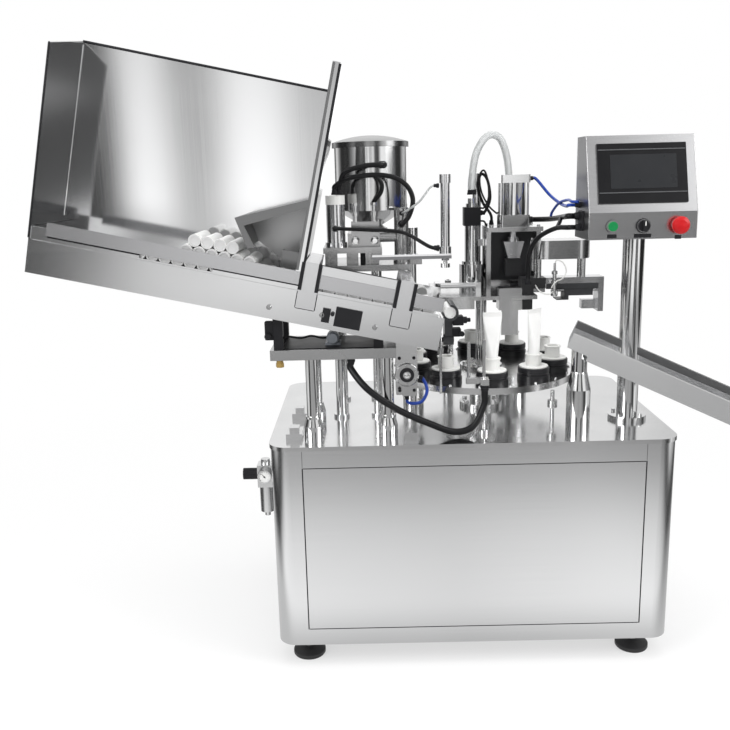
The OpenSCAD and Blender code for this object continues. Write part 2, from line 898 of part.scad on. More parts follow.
// Guard rail over the tubes and the two straps that hold it to the channel
module feed_guard() {
    out = feed_front - strap_t;
    top = rail_top + strap_rise;
    color("silver") placed()
        feed_axes() {
            span([-feed_len + 37, feed_front, rail_z], [-8, feed_front + front_t, rail_top]);
            for (x = strap_x) {
                span([x - strap_tab_w / 2, out, feed_h - 38], [x + strap_tab_w / 2, feed_front, feed_h + 3]);
                span([x - strap_w / 2, out, feed_h], [x + strap_w / 2, feed_front, top + strap_t]);
                span([x - strap_w / 2, out, top], [x + strap_w / 2, feed_back, top + strap_t]);
                span([x - strap_w / 2, feed_back - strap_t, rail_top], [x + strap_w / 2, feed_back, top]);
            }
        }
}

// Upright plate that closes the bin's lower end above the tubes
module bin_gate() {
    fold = 14;
    color("lightgray") placed()
        feed_axes() {
            span([-gate_at, feed_front, rail_top], [-gate_at + sheet_t, feed_back, gate_h]);
            span([-gate_at - fold, feed_front, rail_top], [-gate_at, feed_front + sheet_t, gate_h]);
        }
}

// Bent sheet on the gate that lets the tubes pass below it in two layers
module bin_deflector() {
    t = 2.5;
    reach = 167;
    lip = 17;
    front = feed_front + sheet_t + 2;
    stop_z = feed_h + 36;
    nose = rail_top + 88;
    tip = rail_top + 28;
    root = rail_top + 164;
    color("darkgray") placed()
        feed_axes()
            translate([0, feed_back - sheet_t, 0])
                rotate([90, 0, 0])
                    linear_extrude(bin_d - 2 * sheet_t - 2)
                        polygon([[-gate_at, root], [-gate_at - reach, nose], [-gate_at - reach + 38, tip],
                            [-gate_at - reach + 38 + t, tip + 1.5], [-gate_at - reach + 3.6, nose - 1],
                            [-gate_at, root - t - 0.5]]);
    color("darkgray") placed()
        feed_axes() {
            translate([0, front + t, 0])
                rotate([90, 0, 0])
                    linear_extrude(t)
                        polygon([[-gate_at, root], [-gate_at - reach, nose], [-gate_at - reach + 38, tip],
                            [-gate_at - reach + 38 + lip, tip + 4], [-gate_at - reach + lip + 6, nose - 13],
                            [-gate_at, root - lip - 1]]);
            span([-gate_at - 56, front + 66, stop_z], [-gate_at, front + 66 + t, stop_z + 40]);
            span([-gate_at - 56, front + 66, stop_z], [-gate_at - 56 + t, front + 90, stop_z + 40]);
        }
}

// Switch boxes on the channel's front and black edge strips beside the straps
module feed_fittings() {
    out = feed_front - 5;
    color("#151515") placed()
        feed_axes() {
            span([-272, out, 16], [-254, feed_front, 48]);
            span([-243, out, 12], [-183, feed_front, 56]);
            rod_y(-249, feed_front - 10, feed_front, 38, 9);
            for (x = strap_x, sx = [-1, 1])
                translate([x + sx * (strap_w / 2 + strip_w / 2) - strip_w / 2, 0, 0])
                    difference() {
                        span([0, feed_front - 8, feed_h + 3.3], [strip_w, feed_front, rail_top + strap_rise]);
                        span([-1, feed_front - 3, feed_h + 5], [strip_w + 1, feed_front + 1, rail_top + 60]);
                    }
        }
}

// Open tubes lying across the channel, in one full row and a heap before the gate
module tubes_in_bin() {
    step = tube_d + 0.6;
    rise = step * sin(60);
    first = feed_h + tube_d / 2 + lay_fit;
    row = floor((feed_len - 60) / step);
    front = feed_front + front_t + 3;
    heap_end = -gate_at - 120;
    start = -24 - tube_d / 2;
    second = ceil((-heap_end + start) / step);
    color("white") placed()
        feed_axes() {
            for (i = [0:row - 1])
                open_tube(start - i * step, front, first);
            for (i = [0:5])
                open_tube(start - (second + i - 0.5) * step, front + 4, first + rise);
            for (i = [0:3])
                open_tube(start - (second + i + 1) * step, front + 9, first + 2 * rise);
        }
}

module open_tube(x, y, z) {
    difference() {
        rod_y(x, y, y + tube_len, z, tube_d);
        rod_y(x, y + 25, y + tube_len + 1, z, tube_d - 2);
        rod_y(x, y - 1, y + 1.5, z, tube_d - 8);
    }
}

// Loading

module loading_actuator() {
    x = feed_plate_x[1];
    y = hinge_y - actuator_d / 2;
    mid = x + actuator_w / 2;
    color("silver") placed()
        difference() {
            union() {
                span([x, y, actuator_z], [x + actuator_w, y + actuator_d, actuator_top]);
                rod_y(mid, y - 7, y + 1, actuator_z + 53, 34);
                rod_y(mid, y - 13, y, actuator_z + 53, 18);
                rod_x(x + actuator_w, x + actuator_w + 10, hinge_y, hinge_z, 30);
            }
            rod_x(x + 10, x + actuator_w + 11, hinge_y, hinge_z, axle_d + 2 * slide_fit);
            for (sx = [-1, 1], z = [actuator_z + 14, actuator_z + 92])
                rod_y(mid + sx * 17, y - 1, y + 8, z, 6.5);
            span([x - 1, y - 1, actuator_z - 1], [x + 14, y + 12, actuator_z + 30]);
        }
}

// Axle, arm and half-open cradle that stands a tube up into its cup
module tube_flipper() {
    x = station_x(load_at);
    r = tube_d / 2 + 0.5;
    back = hinge_y + 35;
    color("#202024") placed() {
        rod_x(feed_plate_x[1] + 14, x + 13, hinge_y, hinge_z, axle_d);
        rod_x(x - 12, x + 12, hinge_y, hinge_z, 26);
        span([x - 9, hinge_y - 9, hinge_z], [x + 9, hinge_y + 9, flip_z - r - 1]);
        difference() {
            rod_y(x, back - cradle_l, back, flip_z, 2 * (r + cradle_wall));
            rod_y(x, back - cradle_l - 1, back + 1, flip_z, 2 * r);
            span([x - 60, back - cradle_l - 1, flip_z - 8], [x, back + 1, flip_z + 60]);
        }
    }
}

// Arm and air cylinder over the loading station
module push_cylinder() {
    left = push_x - 176;
    bore = push_rod_d + 2 * slide_fit;
    top = push_z + push_l;
    color("silver") placed()
        difference() {
            union() {
                span([left, push_y - 12, push_z - push_arm_t], [push_x + 14, push_y + 12, push_z]);
                span([left, push_y - 12, push_z - push_arm_t], [left + 25, fill_front + 38, push_z]);
                rod(push_x, push_y, push_z, top, push_d);
                rod(push_x, push_y, push_z, push_z + 16, push_d + 6);
                rod(push_x, push_y, top, top + 20, push_d + 5);
                rod(push_x, push_y, push_z - push_arm_t - 5, push_z, 18);
            }
            rod(push_x, push_y, push_z - push_arm_t - 6, push_z + 20, bore);
            rod(push_x, push_y, push_z + 16, top - 10, push_d - 5);
        }
}

module push_rod() {
    z = push_z - push_arm_t - 12;
    color("gainsboro") placed() {
        rod(push_x, push_y, z, push_z + push_stroke + 45, push_rod_d);
        rod(push_x, push_y, z - push_tip_h, z, 22);
    }
}

// Filling

module fill_frame() {
    right = fill_x + 93;
    back = fill_y + 75;
    nx = station_x(fill_at);
    ny = station_y(fill_at);
    leg_front = fill_front + 8;
    color("silver") placed() {
        difference() {
            union() {
                span([fill_left, fill_front, fill_base_z], [right, back, fill_base_z + fill_base_t]);
                span([right - 1, ny - 22, fill_base_z], [nx + 26, ny + 22, fill_base_z + fill_base_t]);
            }
            rod(nx, ny, fill_base_z - 1, fill_base_z + fill_base_t + 1, nozzle_d + 2 * slide_fit);
        }
        for (x = [fill_left + 4, fill_x - 17])
            span([x, leg_front, fill_base_z + fill_base_t], [x + 10, fill_y - 5, fill_plate_z]);
        span([fill_left, leg_front - 5, fill_plate_z], [fill_x + 23, fill_y, fill_deck]);
    }
}

module dosing_pump() {
    z = fill_deck + pump_h;
    color("gainsboro") placed() {
        rod(pump_x, pump_y, fill_deck, z, pump_d);
        rod(pump_x, pump_y, fill_deck, fill_deck + 12, pump_d + 8);
        rod(pump_x, pump_y, z, z + 22, pump_d + 2);
    }
}

// Rotary valve below the hopper, its blocks and its upright cylinder
module fill_valve() {
    color("silver") placed() {
        span([fill_x - 62, fill_y - 88, fill_deck], [fill_x + 20, fill_y + 40, hopper_z]);
        span([fill_x - 52, fill_y - 112, fill_deck], [fill_x + 18, fill_y - 88, fill_deck + 61]);
        rod_y(fill_x - 20, fill_y - 118, fill_y - 112, fill_deck + 36, 34);
        rod(fill_x + 73, fill_y - 87, fill_base_z + fill_base_t, fill_deck + 92, 36);
        rod(fill_x + 73, fill_y - 87, fill_base_z + fill_base_t, fill_base_z + fill_base_t + 12, 42);
        rod_x(fill_x, fill_x + 73, fill_y - 87, fill_deck + 20, 24);
    }
}

module filling_hopper() {
    r = hopper_d / 2;
    w = hopper_wall;
    color("gainsboro") placed()
        translate([fill_x, fill_y, 0])
            rotate_extrude()
                polygon([[24, hopper_z], [40, hopper_z], [40, hopper_z + 8], [24 + w, cone_z], [r, wall_z],
                    [r, rim_z], [r - w, rim_z], [r - w, wall_z + w], [24, cone_z + w]]);
}

// Domed lid that drops over the hopper's rim
module hopper_lid() {
    r = lid_d / 2;
    inner = hopper_d / 2 + 1;
    ball = (r * r + dome_h * dome_h) / (2 * dome_h);
    arc = asin(r / ball);
    base = rim_z + 3;
    color("gainsboro") placed()
        translate([fill_x, fill_y, 0])
            rotate_extrude()
                polygon(concat([[0, rim_z + lay_fit], [inner, rim_z + lay_fit], [inner, rim_z - 10],
                    [r, rim_z - 10]],
                    [for (k = [0:8]) [ball * sin(arc * (1 - k / 8)), base + dome_h - ball
                        + ball * cos(arc * (1 - k / 8))]]));
}

module filling_nozzle() {
    x = station_x(fill_at);
    y = station_y(fill_at);
    tip = plate_z + 8;
    head = fill_base_z + fill_base_t + nozzle_stroke + 24;
    color("gainsboro") placed() {
        rod(x, y, tip + 28, head + 10, nozzle_d);
        rod(x, y, tip, tip + 29, nozzle_d * 0.6);
        rod(x, y, head, head + 28, nozzle_d + 10);
    }
}

// Stations

module station_plate() {
    slot0 = cup_circle - jaw_open - jaw_l / 2 - jaw_stem_l / 2 - 0.5;
    slot1 = cup_circle + jaw_open + jaw_l / 2 + jaw_stem_l / 2 + 0.5;
    cool_x = disc_x + 40;
    cool_w = 58;
    cool_y = plate_front - 30;
    low = plate_z - 22;
    top = plate_top + 24;
    color("silver") placed() {
        difference() {
            translate([0, 0, plate_z])
                linear_extrude(plate_t)
                    polygon([[plate_left, plate_front], [plate_right, plate_front], [plate_right, trim_y + 47],
                        [plate_wing, trim_y + 47], [plate_wing, plate_back], [plate_left, plate_back]]);
            rod(heat_x, heat_y, plate_z - 1, plate_top + 1, hot_d + 8);
            station_axes(seal_at)
                span([slot0, -jaw_stem_w / 2 - loose_fit, plate_z - 1], [slot1, jaw_stem_w / 2 + loose_fit,
                    plate_top + 1]);
        }
        span([plate_left, plate_front, low], [plate_left + 98, plate_front + 24, plate_z + 1]);
        difference() {
            span([cool_x, cool_y, low], [cool_x + cool_w, plate_front + 20, top]);
            span([cool_x - 1, plate_front, plate_z], [cool_x + cool_w + 1, plate_front + 21, top + 1]);
            for (z = [plate_z + 1, plate_z + 10, plate_z + 18])
                span([cool_x - 1, cool_y - 1, z], [cool_x + cool_w + 1, cool_y + 4, z + 2.5]);
        }
        span([cool_x + 8, cool_y + 8, disc_z + 90], [cool_x + 50, cool_y + 18, low + 1]);
    }
}

// Collar, heating body, clamp and pole of the hot air unit, with the rods in front of it
module heater_unit() {
    bore = hot_d + 2 * slide_fit;
    rod_z = plate_top + 16;
    rod_y0 = disc_y + 80;
    left = plate_left + 3;
    right = disc_x + 8;
    color("gainsboro") placed() {
        difference() {
            union() {
                rod(heat_x, heat_y, plate_top, heater_top, heater_d);
                rod(heat_x, heat_y, heater_top - 1, solenoid_z, heater_body_d);
                rod(heat_x, heat_y, heater_top - 1, heater_top + 8, heater_body_d + 16);
                span([heat_x, heat_y - 9, heater_top + 50], [heater_pole[0], heat_y + 9, heater_top + 68]);
                span([heater_pole[0] - 14, heat_y - 9, heater_top + 50], [heater_pole[0] + 14, heater_pole[1] + 14,
                    heater_top + 68]);
                rod(heater_pole[0], heater_pole[1], plate_top, connector_z + 90, 24);
            }
            rod(heat_x, heat_y, plate_top - 1, plate_top + 40, bore);
            rod(heat_x, heat_y, plate_top + 39, heater_top - 4, hot_d + 10);
        }
        rod(heat_x, heat_y, connector_z, connector_z + 10, 32);
        rod(heat_x, heat_y, connector_z, connector_z + 24, 22);
        for (y = [rod_y0, rod_y0 + 24])
            rod_x(left, right, y, rod_z, 12);
        for (x = [left, right - 14])
            span([x, rod_y0 - 14, plate_top], [x + 14, rod_y0 + 38, rod_z + 10]);
    }
}

module heater_solenoid() {
    color("#161616") placed()
        span([heat_x - 23, heat_y - 20, solenoid_z], [heat_x + 23, heat_y + 20, connector_z]);
}

module heater_nozzle() {
    z = plate_z + 2;
    color("gray") placed()
        difference() {
            rod(heat_x, heat_y, z, plate_top + 54, hot_d);
            rod(heat_x, heat_y, z - 1, plate_top + 55, hot_d - 8);
        }
}

// Portal that carries the press cylinder above the jaws
module press_frame() {
    left = press_x - press_side - 6;
    right = press_x + press_side + 6;
    back = press_y + 88;
    color("silver") placed()
        difference() {
            union() {
                span([left, press_y - 14, plate_top], [left + press_frame_t, back, press_z]);
                span([right - press_frame_t, press_y - 14, plate_top], [right, back, press_z]);
                span([left, back - press_frame_t, plate_top], [right, back, press_z]);
                span([left, press_y - 44, press_z - press_frame_t], [right, back, press_z]);
            }
            rod(press_x, press_y, press_z - press_frame_t - 1, press_z + 1, press_rod_d + 2);
            span([left - 1, press_y + 14, plate_top + 40], [right + 1, back - press_frame_t - 10, press_z - 40]);
        }
}

// Air cylinder with square end caps and tie rods
module press_cylinder() {
    z1 = press_z + low_cap_h;
    z2 = z1 + press_l;
    color("gainsboro") placed()
        translate([press_x, press_y, 0])
            difference() {
                union() {
                    translate([0, 0, press_z])
                        linear_extrude(low_cap_h)
                            rounded(cap_w, cap_w, 5);
                    rod(0, 0, z1 - 1, z2 + 1, press_d);
                    translate([0, 0, z2])
                        linear_extrude(top_cap_h)
                            rounded(cap_w, cap_w, 5);
                    for (sx = [-1, 1], sy = [-1, 1])
                        rod(sx * (cap_w / 2 - 6), sy * (cap_w / 2 - 6), z1 - 1, z2 + 1, 6);
                }
                rod(0, 0, press_z - 1, z1 + 5, press_rod_d + 2 * slide_fit);
                rod(0, 0, z1 + 4, z2 - 4, press_d - 8);
            }
}

// Rod, wedge and black pressure block
module press_head() {
    wedge_top = press_z - 40;
    wedge_low = wedge_top - 47;
    block_low = plate_top + jaw_cap_h + press_stroke + 5;
    color("gray") placed()
        translate([press_x, press_y, 0]) {
            rod(0, 0, wedge_top, press_z + low_cap_h + press_l - 12, press_rod_d);
            rod(0, 0, wedge_top, wedge_top + 15 - 3, 32);
            rod(0, 0, press_z + low_cap_h + press_l - 24, press_z + low_cap_h + press_l - 12, press_d - 9);
            translate([0, 20, 0])
                rotate([90, 0, 0])
                    linear_extrude(40)
                        polygon([[-28, wedge_top], [28, wedge_top], [15, wedge_low], [-15, wedge_low]]);
            span([-22, -15, block_low], [22, 15, wedge_low]);
        }
}

// A sealing jaw: a block below the plate, a stem through the slot and a cap above it
module jaw(r) {
    station_axes(seal_at)
        translate([r, 0, 0]) {
            span([-jaw_l / 2, -jaw_w / 2, plate_z - jaw_h], [jaw_l / 2, jaw_w / 2, plate_z - lay_fit]);
            span([-jaw_stem_l / 2, -jaw_stem_w / 2, plate_z - 1], [jaw_stem_l / 2, jaw_stem_w / 2, plate_top + 1]);
            span([-jaw_cap_l / 2, -22, plate_top + lay_fit], [jaw_cap_l / 2, 22, plate_top + jaw_cap_h]);
        }
}

module jaw_inner() {
    color("#2a2a2c") placed()
        jaw(cup_circle - jaw_open - jaw_l / 2);
}

module jaw_outer() {
    color("#2a2a2c") placed()
        jaw(cup_circle + jaw_open + jaw_l / 2);
}

// Head block, beam, hanging end post, blade guides, air cylinder and fixed anvil of the trimming station
module trim_frame() {
    y0 = trim_y - trim_d / 2;
    y1 = trim_y + trim_d / 2;
    post = 14;
    head = trim_x;
    color("silver") placed() {
        span([trim_left, y0, plate_top], [plate_right, y1, trim_beam_top]);
        span([plate_right - 1, y0, plate_top + 10], [head, y1, trim_beam_top]);
        span([head - 1, y0, trim_beam_z], [trim_right, y1, trim_beam_top]);
        span([trim_right - post, y0, trim_foot], [trim_right, y1, trim_beam_z + 1]);
        span([trim_right - post - 40, trim_y - 12, trim_foot + 6], [trim_right - post + 1, trim_y + 12,
            trim_foot + 30]);
        for (y = trim_rod_y)
            rod_x(trim_x + 28, trim_right - post + 1, y, trim_rod_z, trim_rod_d);
        span([trim_left + 4, y0 + 2, trim_foot + 8], [plate_right - 2, y1 - 2, plate_z]);
    }
}

// Blade hanging from its carriage, which slides on the two guides
module trim_blade() {
    x = trim_x + 30;
    color("#232326") placed()
        difference() {
            union() {
                span([x + 20, trim_y - 21, trim_rod_z - 15], [x + 96, trim_y + 21, trim_rod_z + 12]);
                span([x + 20, trim_y - 21, plate_z - 12], [x + 32, trim_y + 21, trim_rod_z]);
                span([x, trim_y - 23, plate_z - 12], [x + 30, trim_y + 23, plate_z - 9]);
            }
            for (y = trim_rod_y)
                rod_x(x, x + 100, y, trim_rod_z, trim_rod_d + 2 * slide_fit);
        }
}

// Polished cover on four legs
module trim_cover() {
    cx = trim_x + 40;
    wall = 3;
    color("gainsboro") placed() {
        difference() {
            translate([cx, trim_y, trim_cover_z])
                linear_extrude(trim_cover_h)
                    rounded(trim_cover_w, trim_cover_d, 40);
            translate([cx, trim_y, trim_cover_z - wall])
                linear_extrude(trim_cover_h)
                    rounded(trim_cover_w - 2 * wall, trim_cover_d - 2 * wall, 40 - wall);
        }
        for (sx = [-1, 1], sy = [-1, 1])
            rod(cx + sx * 58, trim_y + sy * 17, trim_beam_top, trim_cover_z + trim_cover_h - 1, trim_leg_d);
    }
}

// Discharge

module discharge_chute() {
    h = chute_w / 2;
    color("silver") placed()
        difference() {
            chute_axes() {
                span([0, -h, 0], [chute_len, h, chute_t]);
                span([0, -h, 0], [chute_len, -h + chute_t, chute_front_h]);
                span([0, h - chute_t, 0], [chute_len, h, chute_h]);
                span([chute_bar_start, -h, -chute_bar_h], [chute_len, -h + chute_t, 1]);
                span([chute_bar_start, -h, -chute_bar_h], [chute_len, -h + 14, chute_t - chute_bar_h]);
            }
            rod(hmi_x, hmi_y, table_z, hmi_z, hmi_post_d + 6);
        }
}

// Control box

// Side outline of the control box, drawn smaller by an inset
module hmi_outline(inset) {
    polygon([[hmi_front + inset, hmi_z + inset], [hmi_front + inset, hmi_z + hmi_low - inset * 0.15],
        [hmi_front + hmi_d - hmi_top_d + inset, hmi_z + hmi_h - inset], [hmi_front + hmi_d, hmi_z + hmi_h - inset],
        [hmi_front + hmi_d, hmi_z + inset]]);
}

// Draws an outline given in Y and Z along X
module along_x(w) {
    translate([hmi_x - w / 2, 0, 0])
        rotate([90, 0, 90])
            linear_extrude(w)
                children();
}

module hmi_box() {
    color("silver") placed()
        difference() {
            union() {
                difference() {
                    along_x(hmi_w)
                        hmi_outline(0);
                    translate([0, hmi_wall * 0.02, 0])
                        along_x(hmi_w - 2 * hmi_wall)
                            hmi_outline(hmi_wall);
                }
                for (x = button_x)
                    rod_y(x, hmi_front - bezel_h, hmi_front + hmi_wall, button_z, bezel_d);
            }
            screen_axes()
                span([-screen_w / 2 + 8 - 0.5, -1, (hmi_face - screen_h) / 2 + 8 - 0.5],
                    [screen_w / 2 - 8 + 0.5, 12, (hmi_face + screen_h) / 2 - 8 + 0.5]);
            for (k = [0, 2])
                rod_y(button_x[k], hmi_front - bezel_h - 1, hmi_front + 10, button_z, button_d + 2 * slide_fit);
            rod_y(button_x[1], hmi_front - bezel_h - 1, hmi_front + 10, button_z, selector_shaft + 2 * slide_fit);
        }
}

module hmi_back() {
    color("lightgray") placed()
        span([hmi_x - hmi_w / 2, hmi_front + hmi_d, hmi_z], [hmi_x + hmi_w / 2, hmi_front + hmi_d + hmi_wall,
            hmi_z + hmi_h]);
}

module hmi_screen() {
    z0 = (hmi_face - screen_h) / 2;
    z1 = (hmi_face + screen_h) / 2;
    color("#101114") placed()
        screen_axes() {
            span([-screen_w / 2, -5, z0], [screen_w / 2, 0, z1]);
            span([-screen_w / 2 + 8, -1, z0 + 8], [screen_w / 2 - 8, 30, z1 - 8]);
        }
}

module start_button() {
    y = hmi_front - bezel_h;
    color("green") placed() {
        rod_y(button_x[0], y - button_travel - 1, y + 20, button_z, button_d);
    }
}

module selector_knob() {
    y = hmi_front - bezel_h - lay_fit;
    color("#111111") placed() {
        rod_y(button_x[1], y - 6, y, button_z, selector_d);
        rod_y(button_x[1], y - 1, y + 22, button_z, selector_shaft);
        span([button_x[1] - 4, y - 16, button_z - selector_d / 2 + 1], [button_x[1] + 4, y - 5,
            button_z + selector_d / 2 - 1]);
    }
}

module estop_button() {
    y = hmi_front - bezel_h - mushroom_travel - 1;
    r = mushroom_d / 2;
    color("red") placed()
        translate([button_x[2], y, button_z])
            rotate([90, 0, 0])
                rotate_extrude()
                    polygon([[0, -28], [button_d / 2, -28], [button_d / 2, 0], [r - 2, 0], [r, 2], [r, 8],
                        [r - 3, 12], [r - 8, 14.5], [0, 16]]);
}

// Air service unit on the cabinet's left wall

module air_regulator() {
    wall = -cab_w / 2;
    x = wall - 4 - reg_w;
    mid = x + reg_w / 2;
    color("silver") placed()
        difference() {
            union() {
                span([wall - 4, reg_y - 30, reg_z - 36], [wall, reg_y + 30, reg_z + 34]);
                span([x, reg_y - reg_w / 2, reg_z - 26], [wall - 3, reg_y + reg_w / 2, reg_z + 30]);
                rod(mid, reg_y, reg_z - 92, reg_z - 25, 34);
                rod(mid, reg_y, reg_z - 104, reg_z - 91, 14);
                rod(mid, reg_y, reg_z + 29, reg_z + 42, 22);
                rod_y(mid, reg_y - reg_w / 2 - 14, reg_y, reg_z + 6, 34);
            }
            rod_x(x - 1, x + 24, reg_y, reg_z + 4, 12 + 2 * slide_fit);
        }
}

module regulator_knob() {
    x = -cab_w / 2 - 4 - reg_w;
    color("#141414") placed()
        difference() {
            union() {
                rod_x(x - 36, x - loose_fit, reg_y, reg_z + 4, reg_knob_d);
                rod_x(x - 10, x + 22, reg_y, reg_z + 4, 12);
            }
            for (a = [0:30:330])
                rod_x(x - 37, x - 10, reg_y + 15.4 * cos(a), reg_z + 4 + 15.4 * sin(a), 5);
        }
}

// Sensor rods in front of the turntable and small blocks on the table plate
module table_fittings() {
    sx = disc_x - 26;
    sy = disc_y - disc_r - 19;
    bz = disc_z + 18;
    color("silver") placed() {
        rod(sx, sy, table_z, disc_z + 122, 8);
        rod(sx, sy, table_z, table_z + 10, 24);
        span([sx - 42, sy - 6, bz], [sx + 10, sy + 6, bz + 14]);
        span([sx - 9, sy - 24, bz], [sx + 9, sy + 6, bz + 14]);
        rod(sx - 36, sy, bz, disc_z + 116, 8);
        rod(disc_x + 157, disc_y - 162, table_z, disc_bottom - 12, 10);
        rod(disc_x + 157, disc_y - 162, table_z + 34, table_z + 52, 24);
        for (y = [-255, -80])
            translate([feed_column_x[0] - collar_d / 2 - 43, y, table_z]) {
                span([0, 0, 0], [38, 62, 14]);
                span([8, 12, 14], [30, 40, 26]);
            }
        span([-158, -296, table_z], [-128, -270, table_z + 24]);
    }
}

// Hoses

module hoses_clear() {
    color("whitesmoke") placed() {
        hose(clear_route, clear_d, 2, 12);
        hose(thin_route, thin_d, 3, 8);
    }
}

module hoses_blue() {
    color("royalblue") placed() {
        hose(blue_route, blue_d, 3);
        hose(loop_route, blue_d, 2);
    }
}

module hoses_black() {
    color("#181818") placed() {
        hose(conduit_route, conduit_d);
        hose(pump_route, black_d);
        hose(hopper_route, black_d);
        hose(push_route, 9);
        hose(upper_route, 14);
        hose(lower_route, black_d);
        hose(coil_route, 8);
    }
}

cabinet_shell();
table_plate();
front_panel();
levelling_feet();
support_columns();
index_housing();
index_gearbox();
drive_motor();
motor_pulley();
index_pulley();
drive_belt();
index_shaft();
turntable();
tube_cups();
cup_inserts();
tubes_on_table();
feed_plate();
feed_posts();
tube_bin();
feed_front_plate();
feed_guard();
bin_gate();
bin_deflector();
feed_fittings();
tubes_in_bin();
loading_actuator();
tube_flipper();
push_cylinder();
push_rod();
fill_frame();
dosing_pump();
fill_valve();
filling_hopper();
hopper_lid();
filling_nozzle();
station_plate();
heater_unit();
heater_solenoid();
heater_nozzle();
press_frame();
press_cylinder();
press_head();
jaw_inner();
jaw_outer();
trim_frame();
trim_blade();
trim_cover();
discharge_chute();
hmi_box();
hmi_back();
hmi_screen();
start_button();
selector_knob();
estop_button();
air_regulator();
regulator_knob();
table_fittings();
hoses_clear();
hoses_blue();
hoses_black();
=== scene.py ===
import bpy
import bmesh
import math
from mathutils import Matrix, Vector


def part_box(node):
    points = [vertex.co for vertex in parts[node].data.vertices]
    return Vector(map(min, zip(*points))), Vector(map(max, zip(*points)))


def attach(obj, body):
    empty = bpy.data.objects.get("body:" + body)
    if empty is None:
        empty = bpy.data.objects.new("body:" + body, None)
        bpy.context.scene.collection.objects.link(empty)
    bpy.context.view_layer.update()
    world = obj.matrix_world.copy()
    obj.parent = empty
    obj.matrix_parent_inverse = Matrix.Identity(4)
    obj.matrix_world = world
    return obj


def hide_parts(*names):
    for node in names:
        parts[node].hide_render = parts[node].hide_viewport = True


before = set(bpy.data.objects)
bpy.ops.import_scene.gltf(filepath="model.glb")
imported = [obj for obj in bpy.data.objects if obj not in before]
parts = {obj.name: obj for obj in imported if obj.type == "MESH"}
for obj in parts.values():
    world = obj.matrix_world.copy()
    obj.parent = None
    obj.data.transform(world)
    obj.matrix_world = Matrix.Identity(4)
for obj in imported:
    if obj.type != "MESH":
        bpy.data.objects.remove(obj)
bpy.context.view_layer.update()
shellLow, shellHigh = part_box("cabinet_shell")
midX, midY = (shellLow.x + shellHigh.x) / 2, (shellLow.y + shellHigh.y) / 2  # middle of the cabinet
toRight, toBack, toTop = Vector((1, 0, 0)), Vector((0, 1, 0)), Vector((0, 0, 1))
toLeft, toFront, toFloor = Vector((-1, 0, 0)), Vector((0, -1, 0)), Vector((0, 0, -1))
upright = (toRight, toTop, toFront)  # width, height and face of a plate that faces the front
lying = (toRight, toBack, toTop)  # the same for a plate that faces up
print("frame loaded:", len(parts), "nodes")


def spot(x, y, z):  # millimetres from the cabinet's middle to metres in the scene
    return Vector((midX + x / 1000, midY + y / 1000, z / 1000))


cameraSetup = {
    "place": (-230.8, -2182.7, 1179.5), "yaw": -0.498, "pitch": 12.757, "roll": -1.458,
    "focal": 852, "picture": 730, "sensor": 36, "far": 60,
}


def makeCamera(s):
    yaw, pitch, roll = (math.radians(s[k]) for k in ("yaw", "pitch", "roll"))
    ahead = Vector((math.sin(yaw) * math.cos(pitch), math.cos(yaw) * math.cos(pitch), -math.sin(pitch)))
    right = ahead.cross(toTop).normalized()
    up = right.cross(ahead)
    side = right * math.cos(roll) + up * math.sin(roll)
    top = side.cross(ahead)
    data = bpy.data.cameras.new("camera")
    data.sensor_width, data.lens = s["sensor"], s["focal"] / s["picture"] * s["sensor"]
    data.clip_end = s["far"]
    cam = bpy.data.objects.new("camera", data)
    turned = Matrix((side, top, -ahead)).transposed().to_4x4()
    cam.matrix_world = Matrix.Translation(spot(*s["place"])) @ turned
    bpy.context.scene.collection.objects.link(cam)
    bpy.context.scene.camera = cam


makeCamera(cameraSetup)
print("camera set")


def feed(tree, slot, v):  # link a shader value, or set a constant
    if isinstance(v, Sock):
        tree.links.new(v.link, slot)
    elif isinstance(v, tuple) and len(v) == 3 and slot.type == "RGBA":
        slot.default_value = (*v, 1)
    else:
        slot.default_value = v


class Sock:  # a shader value that can be added, scaled and so on
    def __init__(self, tree, link):
        self.tree, self.link = tree, link

    def maths(self, job, a, b):
        n = self.tree.nodes.new("ShaderNodeMath")
        n.operation = job
        for slot, v in zip(n.inputs, (a, b)):
            feed(self.tree, slot, v)
        return Sock(self.tree, n.outputs[0])

    def __add__(self, o):
        return self.maths("ADD", self, o)

    def __sub__(self, o):
        return self.maths("SUBTRACT", self, o)

    def __rsub__(self, o):
        return self.maths("SUBTRACT", o, self)

    def __mul__(self, o):
        return self.maths("MULTIPLY", self, o)

    def __truediv__(self, o):
        return self.maths("DIVIDE", self, o)

    def __gt__(self, o):
        return self.maths("GREATER_THAN", self, o)

    def __lt__(self, o):
        return self.maths("LESS_THAN", self, o)


